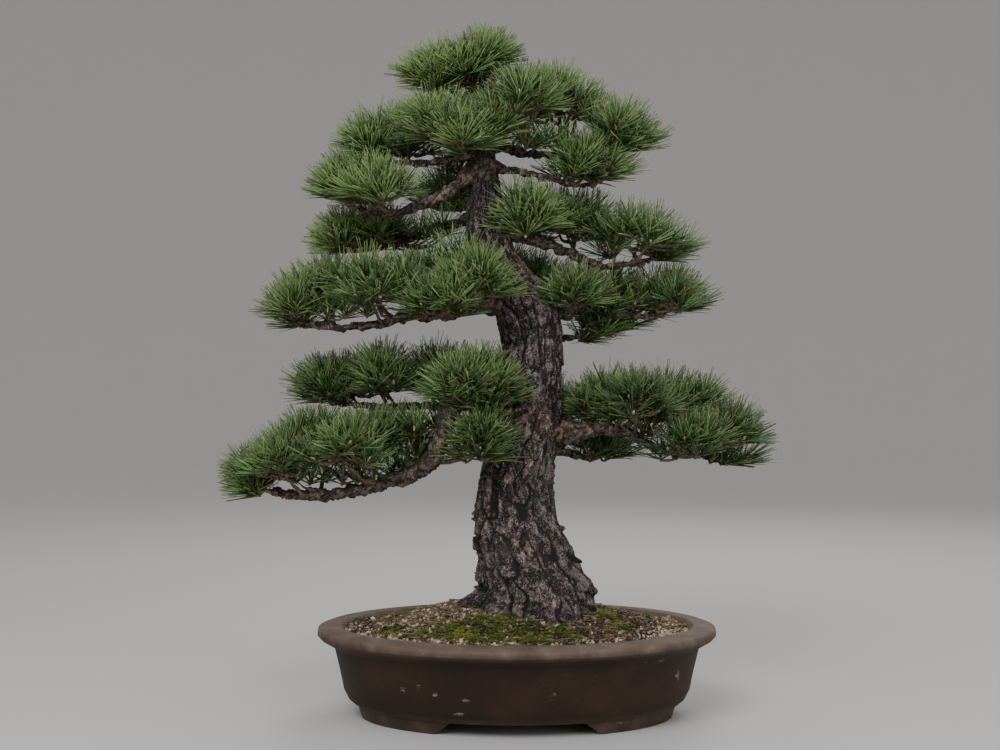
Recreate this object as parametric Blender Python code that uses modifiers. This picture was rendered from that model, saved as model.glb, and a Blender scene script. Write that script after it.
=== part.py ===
"""Japanese black pine bonsai in an oval, unglazed clay pot.

Metres, +Z up, -Y is the front. The origin is on the surface that the pot stands on, in the
middle of the whole tree's footprint. The wood is one body, as it grew, with a node of needles
for each spray. The pot, its soil and the two screens over the drain holes are nodes of their own.
"""

import math
import random
from itertools import permutations

import bmesh
import bpy
import numpy as np
from mathutils import Matrix, Vector, noise

MM = 0.001
GAP = 0.3 * MM
UP = Vector((0, 0, 1))

# Pot: an oval with a flat, rolled rim, standing on four feet.
POT_X = 28 * MM
RIM_HALF_LENGTH = 240 * MM
RIM_HALF_DEPTH = 180 * MM
UNDERSIDE_Z = 15 * MM
FLOOR_Z = 25 * MM
POT_SIDES = 36
# Inset from the rim's outer edge, and height: under the pot, up its outside and down its inside.
POT_PROFILE = [
    (112, 15), (74, 15), (72, 0), (52, 0), (48, 14.5), (44.5, 15.8), (37, 22), (31.5, 33), (27, 55),
    (20, 84), (4, 93.5), (0, 98), (1, 105.5), (9, 108.5), (27, 108.5), (31.5, 103), (36, 60), (41, 36),
    (52, 25.6), (112, 25),
]
# Half-widths of the cut-outs between the feet, at the ground and at their top.
FOOT_GAP_FRONT = (93 * MM, 76 * MM)
FOOT_GAP_END = (24 * MM, 15 * MM)
FOOT_GAP_TOP = UNDERSIDE_Z + GAP
DRAIN_X = 95 * MM
DRAIN_RADIUS = 14 * MM
DRAIN_SIDES = 20
SCREEN_SIZE = 42 * MM
SCREEN_BAR = 1.6 * MM
SCREEN_CELLS = 3

# Soil: level with the rim's inner edge, and heaped up to the trunk.
SOIL_EDGE_Z = 102 * MM
SOIL_HEAP = 30 * MM
SOIL_HEAP_REACH = (0.24, 0.86)
SOIL_ROUGHNESS = 1.6 * MM
SOIL_ROUGHNESS_SIZE = 18 * MM
SOIL_RINGS = 4
SOIL_RINGS_REACH = 0.8
# Inset and height of its side, from the floor up.
SOIL_SIDE = [(92.9, 25.6), (52.9, 26), (41.5, 36), (36.4, 60), (32.2, 98)]

# Trunk: points of its axis with its radius there, from the root ball up to the leader.
TRUNK = [
    (48, 0, 50, 52), (48, 0, 95, 74), (48, 0, 124, 73), (50, 0, 148, 69), (45, 1, 172, 65),
    (36, 2, 205, 58), (27, 3, 236, 50), (27, 4, 273, 47.5), (32, 5, 310, 46), (40, 6, 355, 42.5),
    (44, 7, 400, 40), (46, 7, 445, 38), (41, 5, 478, 39), (33, 3, 507, 37), (15, 1, 533, 33),
    (-2, -1, 560, 29.5), (-10, -2, 600, 24), (-11, -2, 640, 19.5), (-13, -1, 675, 15.5),
    (-16, 0, 706, 11),
]
TRUNK_SIDES = 22
TRUNK_RINGS = 40
# Surface roots: bearing in degrees from +X, reach beyond the trunk, half-width in degrees.
ROOTS = [
    (186, 30, 17), (228, 9, 14), (292, 17, 20), (338, 9, 15), (35, 16, 18), (84, 22, 18), (135, 18, 20),
]
ROOT_TOP_Z = 126 * MM
ROOT_FADE = 34 * MM

# Bark: plates parted by fissures, on the trunk above its roots.
PLATE_WIDTH = 24 * MM
PLATE_HEIGHT = 38 * MM
PLATE_GIRTH = 46 * MM
PLATE_TWIST = -2.2
FISSURE_DEPTH = 4.5 * MM
FISSURE_EDGES = (0.03, 0.32)
FULL_BARK_RADIUS = 40 * MM
BARK_FROM_Z = (130 * MM, 145 * MM)

# Limbs: radius at the trunk, radius at the tip, and the route of the middle.
LIMBS = {
    "leader": (9.5, 3.5, [(-15, 0, 690), (-20, -1, 720), (-24, -2, 748), (-19, -3, 768)]),
    "crown_right": (8.5, 3, [(-14, 0, 690), (22, 3, 681), (62, 4, 674), (105, 2, 675), (133, 1, 681)]),
    "crown_left": (6.5, 3, [(-15, -4, 694), (-32, -20, 684), (-54, -28, 682), (-72, -28, 688)]),
    "top_left": (7, 3, [
        (-12, 0, 676), (-46, -6, 670), (-82, -10, 663), (-114, -9, 665), (-134, -7, 667),
    ]),
    "crown_low_right": (6, 3, [
        (-9, 0, 661), (26, -12, 654), (62, -17, 645), (98, -16, 636), (118, -14, 637),
    ]),
    "high_left": (11, 3.5, [
        (-10, -4, 658), (-38, -20, 640), (-64, -27, 622), (-95, -30, 608), (-130, -26, 600), (-164, -20, 608),
    ]),
    "high_back_left": (8, 3, [
        (-10, 6, 602), (-54, 30, 594), (-96, 42, 581), (-141, 42, 567), (-166, 38, 562),
    ]),
    "high_right": (10, 3.5, [
        (-6, 0, 594), (28, -2, 579), (63, -6, 566), (99, -8, 552), (132, -8, 541), (170, -5, 543),
        (196, -2, 549),
    ]),
    "mid_left": (11, 3.5, [
        (22, -2, 499), (-14, -20, 495), (-52, -27, 484), (-97, -27, 480), (-131, -22, 471), (-178, -17, 465),
        (-216, -12, 468), (-230, -10, 471),
    ]),
    "mid_right": (8.5, 3, [
        (52, 2, 478), (83, 4, 486), (111, 6, 492), (144, 9, 485), (184, 8, 480), (208, 5, 484),
    ]),
    "mid_low_right": (6, 3, [(42, 10, 446), (76, 32, 452), (106, 40, 455)]),
    "low_back_left": (9, 3, [
        (24, 15, 376), (-23, 45, 374), (-77, 60, 370), (-127, 66, 368), (-179, 60, 371), (-203, 56, 374),
    ]),
    "low_left": (14, 4, [
        (22, -5, 398), (-16, -34, 394), (-42, -54, 380), (-56, -65, 350), (-64, -64, 322), (-86, -58, 297),
        (-120, -48, 283), (-170, -38, 271), (-224, -30, 265), (-262, -27, 269),
    ]),
    "low_right": (11, 3.5, [
        (52, 0, 338), (90, -5, 339), (123, -10, 343), (157, -12, 341), (190, -14, 323), (236, -15, 311),
        (280, -11, 313),
    ]),
    "low_back_right": (7.5, 3, [(46, 20, 322), (89, 55, 312), (122, 74, 303)]),
    "back_low": (9, 3.5, [(40, 12, 386), (40, 58, 372), (50, 98, 352)]),
    "back_mid": (9, 3.5, [(30, 12, 498), (24, 55, 510), (14, 88, 515)]),
    "back_high": (7, 3, [(-11, 2, 630), (-24, 34, 628), (-44, 56, 618)]),
}
LIMB_RINGS_PER_SPAN = 1.5
LIMB_TAPER = 0.7

# Sprays: limb, place along it from 0 to 1, middle of its buds, and how far the buds spread each way.
SPRAYS = {
    "apex_1": ("leader", 1.00, (-8, 0, 795), (8, 12, 5)),
    "apex_2": ("leader", 0.80, (-41, -6, 780), (12, 17, 5)),
    "apex_3": ("leader", 0.45, (-72, -5, 771), (10, 14, 6)),
    "apex_back": ("leader", 0.15, (-6, 44, 728), (18, 14, 8)),
    "crown_right_1": ("crown_right", 0.28, (34, -38, 740), (18, 20, 9)),
    "crown_right_2": ("crown_right", 0.66, (86, 26, 744), (27, 28, 9)),
    "crown_right_3": ("crown_right", 1.00, (153, -10, 705), (16, 26, 8)),
    "crown_left_1": ("crown_left", 1.00, (-72, -32, 709), (12, 16, 8)),
    "crown_left_2": ("crown_left", 0.50, (-37, -56, 694), (13, 12, 8)),
    "crown_left_3": ("crown_left", 0.22, (0, -38, 712), (12, 13, 8)),
    "top_left_1": ("top_left", 1.00, (-146, -5, 686), (8, 18, 6)),
    "top_left_2": ("top_left", 0.72, (-110, 22, 698), (14, 24, 8)),
    "crown_low_right_1": ("crown_low_right", 1.00, (129, -12, 658), (10, 18, 5)),
    "crown_low_right_2": ("crown_low_right", 0.70, (98, -20, 660), (11, 22, 5)),
    "high_left_1": ("high_left", 1.00, (-180, -18, 635), (8, 18, 6)),
    "high_left_2": ("high_left", 0.78, (-137, -46, 635), (16, 24, 8)),
    "high_back_left_1": ("high_back_left", 1.00, (-184, 36, 582), (9, 18, 6)),
    "high_back_left_2": ("high_back_left", 0.72, (-138, 62, 590), (16, 24, 6)),
    "high_right_1": ("high_right", 0.20, (42, -24, 603), (14, 24, 8)),
    "high_right_2": ("high_right", 0.50, (100, 28, 598), (30, 30, 9)),
    "high_right_3": ("high_right", 0.86, (172, -22, 580), (30, 28, 8)),
    "mid_left_1": ("mid_left", 1.00, (-239, -8, 491), (9, 22, 6)),
    "mid_left_2": ("mid_left", 0.82, (-198, 24, 521), (26, 28, 10)),
    "mid_left_3": ("mid_left", 0.56, (-138, -54, 522), (24, 26, 11)),
    "mid_left_4": ("mid_left", 0.34, (-82, 22, 531), (20, 28, 11)),
    "mid_left_5": ("mid_left", 0.16, (-18, -68, 529), (14, 13, 12)),
    "mid_left_6": ("mid_left", 0.36, (-64, -62, 497), (20, 18, 5)),
    "mid_right_1": ("mid_right", 0.25, (96, -16, 510), (12, 18, 5)),
    "mid_right_2": ("mid_right", 0.62, (154, 36, 505), (28, 26, 8)),
    "mid_right_3": ("mid_right", 1.00, (219, -6, 504), (14, 28, 8)),
    "mid_low_right_1": ("mid_low_right", 1.00, (129, 42, 478), (19, 18, 5)),
    "low_back_left_1": ("low_back_left", 1.00, (-211, 53, 396), (10, 18, 6)),
    "low_back_left_2": ("low_back_left", 0.82, (-180, 84, 404), (16, 24, 8)),
    "low_back_left_3": ("low_back_left", 0.60, (-136, 34, 409), (16, 26, 8)),
    "low_back_left_4": ("low_back_left", 0.42, (-84, 86, 409), (16, 24, 8)),
    "low_back_left_5": ("low_back_left", 0.20, (-36, 32, 404), (13, 18, 8)),
    "low_left_1": ("low_left", 1.00, (-284, -25, 288), (9, 22, 6)),
    "low_left_2": ("low_left", 0.90, (-246, -58, 310), (16, 22, 8)),
    "low_left_3": ("low_left", 0.80, (-212, 8, 331), (22, 28, 10)),
    "low_left_4": ("low_left", 0.68, (-168, -72, 332), (24, 26, 10)),
    "low_left_5": ("low_left", 0.60, (-120, -6, 334), (26, 28, 10)),
    "low_left_6": ("low_left", 0.44, (-18, -68, 338), (14, 12, 12)),
    "low_left_7": ("low_left", 0.10, (0, -60, 399), (12, 10, 7)),
    "low_left_8": ("low_left", 0.18, (-42, -80, 404), (14, 10, 7)),
    "low_right_1": ("low_right", 0.30, (124, 22, 378), (12, 22, 7)),
    "low_right_2": ("low_right", 0.50, (172, -44, 380), (18, 26, 9)),
    "low_right_3": ("low_right", 0.76, (222, 32, 368), (28, 30, 9)),
    "low_right_4": ("low_right", 1.00, (285, -8, 338), (13, 28, 8)),
    "low_right_5": ("low_right", 0.80, (234, -52, 334), (24, 18, 7)),
    "low_back_right_1": ("low_back_right", 1.00, (138, 84, 328), (20, 22, 6)),
    "back_low_1": ("back_low", 0.70, (18, 100, 412), (20, 20, 8)),
    "back_low_2": ("back_low", 1.00, (68, 118, 372), (20, 18, 7)),
    "back_mid_1": ("back_mid", 1.00, (-4, 112, 542), (24, 20, 8)),
    "back_mid_2": ("back_mid", 0.55, (54, 92, 528), (18, 18, 8)),
    "back_high_1": ("back_high", 1.00, (-60, 64, 636), (22, 16, 8)),
}
# A branchlet of the limb ends in a flat face, where the spray's stem begins. The stem carries
# the spray's hub, and a twig runs from the hub to each shoot.
BRANCHLET_RADIUS = (3.8 * MM, 2.8 * MM)
BRANCHLET_SHARE = 0.45
BRANCHLET_LEAST = 2.5 * MM
STEM_LEAST = 8 * MM
STEM_RADIUS = 2.2 * MM
HUB_BELOW_BUDS = 15 * MM
HUB_RISE = 1.8 * MM
HUB_TIP_RADIUS = 0.7 * MM
HUB_LEAN = 0.6
TWIG_RADIUS = 1.7 * MM
BUDS_IN_SPRAY = 7
BUDS_BUILT = (3, 4)
BUDS_BUILT_WIDE = (3, 4, 5)
WIDE_SPREAD = 14
GOLDEN_ANGLE = math.radians(137.5)
BUD_DOME = (0.6, -1.4)
BUD_LEAN = 0.65
LIMB_LEAN = (0.1, 0.55)

# Needles: a shoot bears them in a brush, nearly level at its foot and upright at its tip.
SHOOT_LENGTH = 11 * MM
SHOOT_BELOW_BUD = 8 * MM
SHOOT_RADIUS = 2.0 * MM
SHOOT_TIP_SHARE = 0.6
SHOOT_RINGS = (0.5, 1.0)
NEEDLE_LENGTH = 41 * MM
NEEDLE_LENGTHS = (0.86, 1.06)
NEEDLE_SPREAD = (math.radians(84), math.radians(12))
NEEDLE_SWAY = (0.15, 0.14)
NEEDLE_TRIES = 4
# How thick a needle counts as in its lower and upper half, and the room kept beside it.
NEEDLE_HALVES = (1.9 * MM, 1.0 * MM)
NEEDLE_ROOM = 0.5 * MM
NEEDLE_ROOM_IN_SHOOT = 1.4 * MM
NEEDLE_ROOT = 6 * MM

COLOURS = {
    "clay": ((0.072, 0.046, 0.034), 0.72),
    "soil": ((0.10, 0.075, 0.045), 0.95),
    "bark": ((0.085, 0.066, 0.056), 0.9),
    "needles": ((0.070, 0.125, 0.040), 0.5),
    "screen": ((0.02, 0.02, 0.02), 0.6),
}


def clear_scene():
    for old in list(bpy.data.objects):
        bpy.data.objects.remove(old)


def make_material(name):
    colour, roughness = COLOURS[name]
    material = bpy.data.materials.new(name)
    material.use_nodes = True
    shader = material.node_tree.nodes["Principled BSDF"]
    shader.inputs["Base Color"].default_value = (*colour, 1)
    shader.inputs["Roughness"].default_value = roughness
    return material


def smoothstep(low, high, value):
    t = min(1.0, max(0.0, (value - low) / (high - low)))
    return t * t * (3 - 2 * t)


def along(points, t):
    """The values a share t of the way along a smooth curve through the points."""
    last = len(points) - 1
    i = min(int(t * last), last - 1)
    f = t * last - i
    p1, p2 = np.array(points[i], float), np.array(points[i + 1], float)
    p0 = np.array(points[i - 1], float) if i else 2 * p1 - p2
    p3 = np.array(points[i + 2], float) if i + 2 <= last else 2 * p2 - p1
    straight = 2 * p1 + (p2 - p0) * f
    bend = (2 * p0 - 5 * p1 + 4 * p2 - p3) * f**2 + (3 * p1 - p0 - 3 * p2 + p3) * f**3
    return 0.5 * (straight + bend)


def finish(obj, collection, material):
    """Gives a new object its collection and material."""
    for old in obj.users_collection:
        old.objects.unlink(obj)
    collection.objects.link(obj)
    obj.data.materials.clear()
    obj.data.materials.append(material)
    return obj


def object_from(name, bm, collection, material):
    mesh = bpy.data.meshes.new(name)
    bm.to_mesh(mesh)
    bm.free()
    obj = bpy.data.objects.new(name, mesh)
    bpy.context.scene.collection.objects.link(obj)
    return finish(obj, collection, material)


def rolled(name, sides, rings, place, collection, material):
    """A grid rolled into a closed tube: place(u, ring) is the point a share u of the way round a ring."""
    bm = bmesh.new()
    bmesh.ops.create_grid(bm, x_segments=sides, y_segments=rings - 1, size=1)
    for vertex in bm.verts:
        u, ring = (vertex.co.x + 1) / 2, round((vertex.co.y + 1) / 2 * (rings - 1))
        vertex.co = place(u % 1, ring)
    bmesh.ops.remove_doubles(bm, verts=bm.verts, dist=0.01 * MM)
    bmesh.ops.holes_fill(bm, edges=[edge for edge in bm.edges if edge.is_boundary], sides=0)
    bmesh.ops.recalc_face_normals(bm, faces=bm.faces)
    bmesh.ops.triangulate(bm, faces=bm.faces, quad_method="FIXED")
    return object_from(name, bm, collection, material)


def tube(name, points, radii, collection, material):
    """A tapered round rod along the points, as a mesh with welded caps."""
    curve = bpy.data.curves.new(name, "CURVE")
    curve.dimensions = "3D"
    curve.bevel_depth = 1
    curve.bevel_resolution = 1
    curve.use_fill_caps = True
    spline = curve.splines.new("POLY")
    spline.points.add(len(points) - 1)
    for knot, point, radius in zip(spline.points, points, radii):
        knot.co = (*point, 1)
        knot.radius = radius
    guide = bpy.data.objects.new(name, curve)
    bpy.context.scene.collection.objects.link(guide)
    graph = bpy.context.evaluated_depsgraph_get()
    mesh = bpy.data.meshes.new_from_object(guide.evaluated_get(graph))
    bm = bmesh.new()
    bm.from_mesh(mesh)
    bmesh.ops.remove_doubles(bm, verts=bm.verts, dist=0.001 * MM)
    bmesh.ops.recalc_face_normals(bm, faces=bm.faces)
    bpy.data.meshes.remove(mesh)
    bpy.data.objects.remove(guide)
    bpy.data.curves.remove(curve)
    return object_from(name, bm, collection, material)


def rod(name, sides, start, end, radii, collection, material):
    """A straight, tapered rod with flat ends."""
    bm = bmesh.new()
    bmesh.ops.create_cone(
        bm, cap_ends=True, segments=sides, radius1=radii[0], radius2=radii[1], depth=(end - start).length)
    bmesh.ops.rotate(bm, verts=bm.verts, matrix=UP.rotation_difference(end - start).to_matrix())
    bmesh.ops.translate(bm, verts=bm.verts, vec=(start + end) / 2)
    return object_from(name, bm, collection, material)


def apply_modifier(obj, modifier):
    bpy.context.view_layer.objects.active = obj
    bpy.ops.object.modifier_apply(modifier=modifier.name)


def join_all(obj, others):
    """Fuses the others into obj with one union, and removes them."""
    group = bpy.data.collections.new("to_join")
    for other in others:
        group.objects.link(other)
    modifier = obj.modifiers.new("union", "BOOLEAN")
    modifier.operation = "UNION"
    modifier.solver = "MANIFOLD"
    modifier.operand_type = "COLLECTION"
    modifier.collection = group
    apply_modifier(obj, modifier)
    for other in others:
        bpy.data.objects.remove(other)
    bpy.data.collections.remove(group)


def cut(obj, cutter):
    modifier = obj.modifiers.new("cut", "BOOLEAN")
    modifier.operation = "DIFFERENCE"
    modifier.solver = "EXACT"
    modifier.object = cutter
    apply_modifier(obj, modifier)
    bpy.data.objects.remove(cutter)


def oval(inset, u, z):
    angle = 2 * math.pi * u
    across = (RIM_HALF_LENGTH - inset) * math.cos(angle)
    return Vector((POT_X + across, (RIM_HALF_DEPTH - inset) * math.sin(angle), z))


def foot_gap_cutter(half_widths, along_x, group, material):
    """A bar with slanted sides that parts two feet."""
    bm = bmesh.new()
    bmesh.ops.create_cube(bm, size=2)
    for vertex in bm.verts:
        low, sideways, lengthwise = vertex.co.z < 0, vertex.co.x, vertex.co.y
        wide = sideways * half_widths[0 if low else 1]
        long = lengthwise * 1.5 * RIM_HALF_LENGTH
        x, y = (long, wide) if along_x else (wide, long)
        vertex.co = (POT_X + x, y, -GAP if low else FOOT_GAP_TOP)
    bmesh.ops.recalc_face_normals(bm, faces=bm.faces)
    return object_from("foot_gap", bm, group, material)


def make_pot(group, cutters, material):
    def place(u, ring):
        inset, z = POT_PROFILE[ring]
        return oval(inset * MM, u, z * MM)

    pot = rolled("pot", POT_SIDES, len(POT_PROFILE), place, group, material)
    cut(pot, foot_gap_cutter(FOOT_GAP_FRONT, False, cutters, material))
    cut(pot, foot_gap_cutter(FOOT_GAP_END, True, cutters, material))
    for side in (-1, 1):
        x = POT_X + side * DRAIN_X
        ends = Vector((x, 0, 0)), Vector((x, 0, 2 * FLOOR_Z))
        cut(pot, rod("drain", DRAIN_SIDES, *ends, (DRAIN_RADIUS, DRAIN_RADIUS), cutters, material))
    return pot


def make_screen(name, side, group, material):
    """A square of plastic mesh over a drain hole, with coarser openings than the real one."""
    bpy.ops.mesh.primitive_grid_add(
        x_subdivisions=SCREEN_CELLS, y_subdivisions=SCREEN_CELLS, size=SCREEN_SIZE - SCREEN_BAR,
        location=(POT_X + side * DRAIN_X, 0, FLOOR_Z + GAP + SCREEN_BAR / 2))
    screen = bpy.context.object
    screen.name = name
    bars = screen.modifiers.new("bars", "WIREFRAME")
    bars.thickness = SCREEN_BAR
    bars.use_boundary = True
    bars.use_even_offset = False
    return finish(screen, group, material)


def soil_height(x, y):
    """Height of the soil: flat by the rim, and heaped round the trunk."""
    reach = math.hypot((x - POT_X) / RIM_HALF_LENGTH, y / RIM_HALF_DEPTH)
    heap = SOIL_HEAP * (1 - smoothstep(*SOIL_HEAP_REACH, reach))
    return SOIL_EDGE_Z + heap + SOIL_ROUGHNESS * noise.noise(Vector((x, y, 0)) / SOIL_ROUGHNESS_SIZE)


def make_soil(group, cutters, material, trunk_hole):
    def place(u, ring):
        share = max(0, ring - len(SOIL_SIDE)) / SOIL_RINGS * SOIL_RINGS_REACH
        inset, z = SOIL_SIDE[min(ring, len(SOIL_SIDE) - 1)]
        point = oval(inset * MM, u, z * MM)
        if ring >= len(SOIL_SIDE):
            point.x, point.y = POT_X + (point.x - POT_X) * (1 - share), point.y * (1 - share)
            point.z = soil_height(point.x, point.y)
        return point

    soil = rolled("soil", POT_SIDES, len(SOIL_SIDE) + SOIL_RINGS + 1, place, group, material)
    cut(soil, trunk_hole)
    room = SCREEN_SIZE + 2 * GAP
    for side in (-1, 1):
        bm = bmesh.new()
        bmesh.ops.create_cube(bm, size=1)
        bmesh.ops.scale(bm, verts=bm.verts, vec=(room, room, 2 * (SCREEN_BAR + 3 * GAP)))
        bmesh.ops.translate(bm, verts=bm.verts, vec=(POT_X + side * DRAIN_X, 0, FLOOR_Z))
        cut(soil, object_from("screen_room", bm, cutters, material))
    return soil


def root_flare(angle, z):
    """How far the surface roots carry the trunk's foot outwards."""
    fade = 1 - smoothstep(0, 1, (z - ROOT_TOP_Z) / ROOT_FADE)
    total = 0
    for bearing, reach, width in ROOTS:
        turn = (math.degrees(angle) - bearing + 180) % 360 - 180
        total += reach * MM * math.exp(-((turn / width) ** 2))
    return total * fade**2


def bark_relief(angle, z, radius):
    """Depth of the fissures between the bark's plates, as a height below the plates' faces."""
    turned = angle + PLATE_TWIST * z
    around = Vector((math.cos(turned), math.sin(turned), 0)) * PLATE_GIRTH / PLATE_WIDTH
    near = noise.voronoi(around + UP * z / PLATE_HEIGHT)[0]
    depth = FISSURE_DEPTH * min(1, radius / FULL_BARK_RADIUS) * smoothstep(*BARK_FROM_Z, z)
    return depth * (smoothstep(*FISSURE_EDGES, near[1] - near[0]) - 1)


def make_trunk(name, extra, group, material):
    """The trunk, or the hole that it stands in if it is given some extra thickness."""
    last = TRUNK_RINGS - 1

    def place(u, ring):
        x, y, z, radius = along(TRUNK, ring / last) * MM
        angle = 2 * math.pi * u
        reach = radius + root_flare(angle, z) + bark_relief(angle, z, radius) + extra
        if ring == 0:
            z -= extra
        return Vector((x + reach * math.cos(angle), y + reach * math.sin(angle), z))

    return rolled(name, TRUNK_SIDES, TRUNK_RINGS, place, group, material)


def limb_at(limb, t):
    """The middle of the limb a share t of the way along it, and its radius there."""
    thick, thin, route = LIMBS[limb]
    return Vector(along(route, t) * MM), (thick + (thin - thick) * t**LIMB_TAPER) * MM


def limb_points(limb):
    count = round(LIMB_RINGS_PER_SPAN * (len(LIMBS[limb][2]) - 1))
    return zip(*[limb_at(limb, k / count) for k in range(count + 1)])


def spray_seat(name):
    """The limb's middle where a spray leaves it, the flat end of its branchlet, and the spray's hub."""
    limb, t, middle, _ = SPRAYS[name]
    start, radius = limb_at(limb, t)
    toward = Vector(middle) * MM - UP * HUB_BELOW_BUDS - start
    reach = max(radius + BRANCHLET_LEAST, BRANCHLET_SHARE * toward.length)
    way = toward.normalized()
    return start, start + way * reach, start + way * max(toward.length, reach + STEM_LEAST)


def shoots_of(name):
    """The foot and direction of each shoot of a spray, spread over a low dome above its hub."""
    limb, t, _, spread = SPRAYS[name]
    phase = sum(map(ord, name)) % 7
    centre = spray_seat(name)[2] + UP * HUB_BELOW_BUDS
    outwards = centre - limb_at(limb, 0)[0]
    outwards = Vector((outwards.x, centre.y, 0)).normalized() * (LIMB_LEAN[0] + LIMB_LEAN[1] * t**3)
    for k in range(BUDS_IN_SPRAY):
        share = math.sqrt((k + 0.5) / BUDS_IN_SPRAY)
        turn = GOLDEN_ANGLE * k + phase
        side = Vector((math.cos(turn), math.sin(turn), 0)) * share
        height = BUD_DOME[0] + BUD_DOME[1] * share**2
        bud = centre + Vector((side.x * spread[0], side.y * spread[1], height * spread[2])) * MM
        way = (UP + BUD_LEAN * side + outwards).normalized()
        yield bud - way * SHOOT_BELOW_BUD, way


def shoots_built(name):
    """The shoots of a spray that are built here, each with its number."""
    shoots = list(shoots_of(name))
    wide = SPRAYS[name][3][0] >= WIDE_SPREAD
    return [(k, *shoots[k]) for k in (BUDS_BUILT_WIDE if wide else BUDS_BUILT)]


class Obstacles:
    """Rods already in place, which a new needle has to keep clear of."""

    def __init__(self):
        self.rods, self.owners, self.table = [], [], None

    def add(self, start, end, radius, owner):
        self.rods.append((*start, *end, radius))
        self.owners.append(owner)
        self.table = None

    def add_needle(self, root, tip, owner):
        middle = root.lerp(tip, 0.5)
        self.add(root, middle, NEEDLE_HALVES[0], owner)
        self.add(middle, tip, NEEDLE_HALVES[1], owner)

    def near_needle(self, root, tip, skipped):
        middle = root.lerp(tip, 0.5)
        lower = self.near(root, middle, skipped, NEEDLE_HALVES[0] + NEEDLE_ROOM)
        return lower or self.near(middle, tip, skipped, NEEDLE_HALVES[1] + NEEDLE_ROOM)

    def near(self, start, end, skipped, room):
        """True if the line from start to end comes nearer than this to a rod whose owner isn't skipped."""
        if not self.rods:
            return False
        if self.table is None:
            self.table = np.array(self.rods)
        line, rods = np.array(end - start), self.table[:, 3:6] - self.table[:, :3]
        between = np.array(start) - self.table[:, :3]
        a, e = line @ line, np.einsum("ij,ij->i", rods, rods)
        b, c, f = rods @ line, between @ line, np.einsum("ij,ij->i", rods, between)
        s = np.clip((b * f - c * e) / np.maximum(a * e - b * b, 1e-15), 0, 1)
        t = np.clip((b * s + f) / e, 0, 1)
        s = np.clip((b * t - c) / a, 0, 1)
        apart = np.linalg.norm(between + s[:, None] * line - t[:, None] * rods, axis=1)
        counted = np.array([owner != skipped for owner in self.owners])
        return bool((apart - self.table[:, 6] < room)[counted].any())


def list_obstacles():
    """The trunk, limbs, branchlets, stems, twigs and shoots, as rods."""
    obstacles = Obstacles()
    for k in range(TRUNK_RINGS):
        low, high = along(TRUNK, k / TRUNK_RINGS) * MM, along(TRUNK, (k + 1) / TRUNK_RINGS) * MM
        obstacles.add(low[:3], high[:3], low[3], "wood")
    for limb in LIMBS:
        points, radii = limb_points(limb)
        for start, end, radius in zip(points, points[1:], radii):
            obstacles.add(start, end, radius, "wood")
    for name in SPRAYS:
        start, seat, hub = spray_seat(name)
        obstacles.add(start, seat, BRANCHLET_RADIUS[0], "wood")
        obstacles.add(seat, hub, STEM_RADIUS, f"{name}_stem")
        for k, foot, way in shoots_built(name):
            obstacles.add(hub, foot, TWIG_RADIUS, f"{name}_{k}")
            obstacles.add(foot, foot + way * SHOOT_LENGTH, SHOOT_RADIUS, f"{name}_{k}")
    return obstacles


def draw_out(bm, face, centre, way, radius):
    """Extrudes a four-sided face to a square ring round the centre, facing this way, and returns it."""
    new = bmesh.ops.extrude_discrete_faces(bm, faces=[face])["faces"][0]
    middle = new.calc_center_median()
    turn = new.normal.rotation_difference(way).to_matrix()
    ahead = (turn @ (new.verts[0].co - middle)).normalized()
    across = way.cross(ahead)
    quarter, slip = math.pi / 2, 0
    for k, vertex in enumerate(new.verts):
        offset = turn @ (vertex.co - middle)
        bearing = math.atan2(offset.dot(across), offset.dot(ahead))
        slip += math.remainder(bearing - quarter * k, 2 * math.pi) / 4
    for k, vertex in enumerate(new.verts):
        angle = quarter * k + slip
        vertex.co = centre + (ahead * math.cos(angle) + across * math.sin(angle)) * radius
    new.normal_update()
    return new


def grow_needles(bm, faces, foot, way, owner, draw, obstacles):
    """Draws the faces of a shoot out into three-sided needles.

    Each needle is kept clear of what is already in place. A face with no room for one stays flat.
    """
    to_world = UP.rotation_difference(way).to_matrix()
    needles = Obstacles()
    for face in faces:
        root = face.calc_center_median()
        place = to_world.transposed() @ (root - foot)
        spread = NEEDLE_SPREAD[0] + (NEEDLE_SPREAD[1] - NEEDLE_SPREAD[0]) * place.z / SHOOT_LENGTH
        for _ in range(NEEDLE_TRIES):
            angle = math.atan2(place.y, place.x) + draw.uniform(-1, 1) * NEEDLE_SWAY[0]
            tilt = spread + draw.uniform(-1, 1) * NEEDLE_SWAY[1]
            side = Vector((math.cos(angle), math.sin(angle), 0))
            drawn = to_world @ (side * math.sin(tilt) + UP * math.cos(tilt))
            tip = root + drawn * NEEDLE_LENGTH * draw.uniform(*NEEDLE_LENGTHS)
            if obstacles.near_needle(root, tip, owner):
                continue
            if needles.near(root + drawn * NEEDLE_ROOT, tip, None, NEEDLE_ROOM_IN_SHOOT):
                continue
            drawn_out = bmesh.ops.poke(bm, faces=[face])
            drawn_out["verts"][0].co = tip
            needles.add(root, tip, 0, owner)
            break
    for grown in needles.rods:
        obstacles.add_needle(Vector(grown[:3]), Vector(grown[3:6]), f"{owner}_needles")


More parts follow.
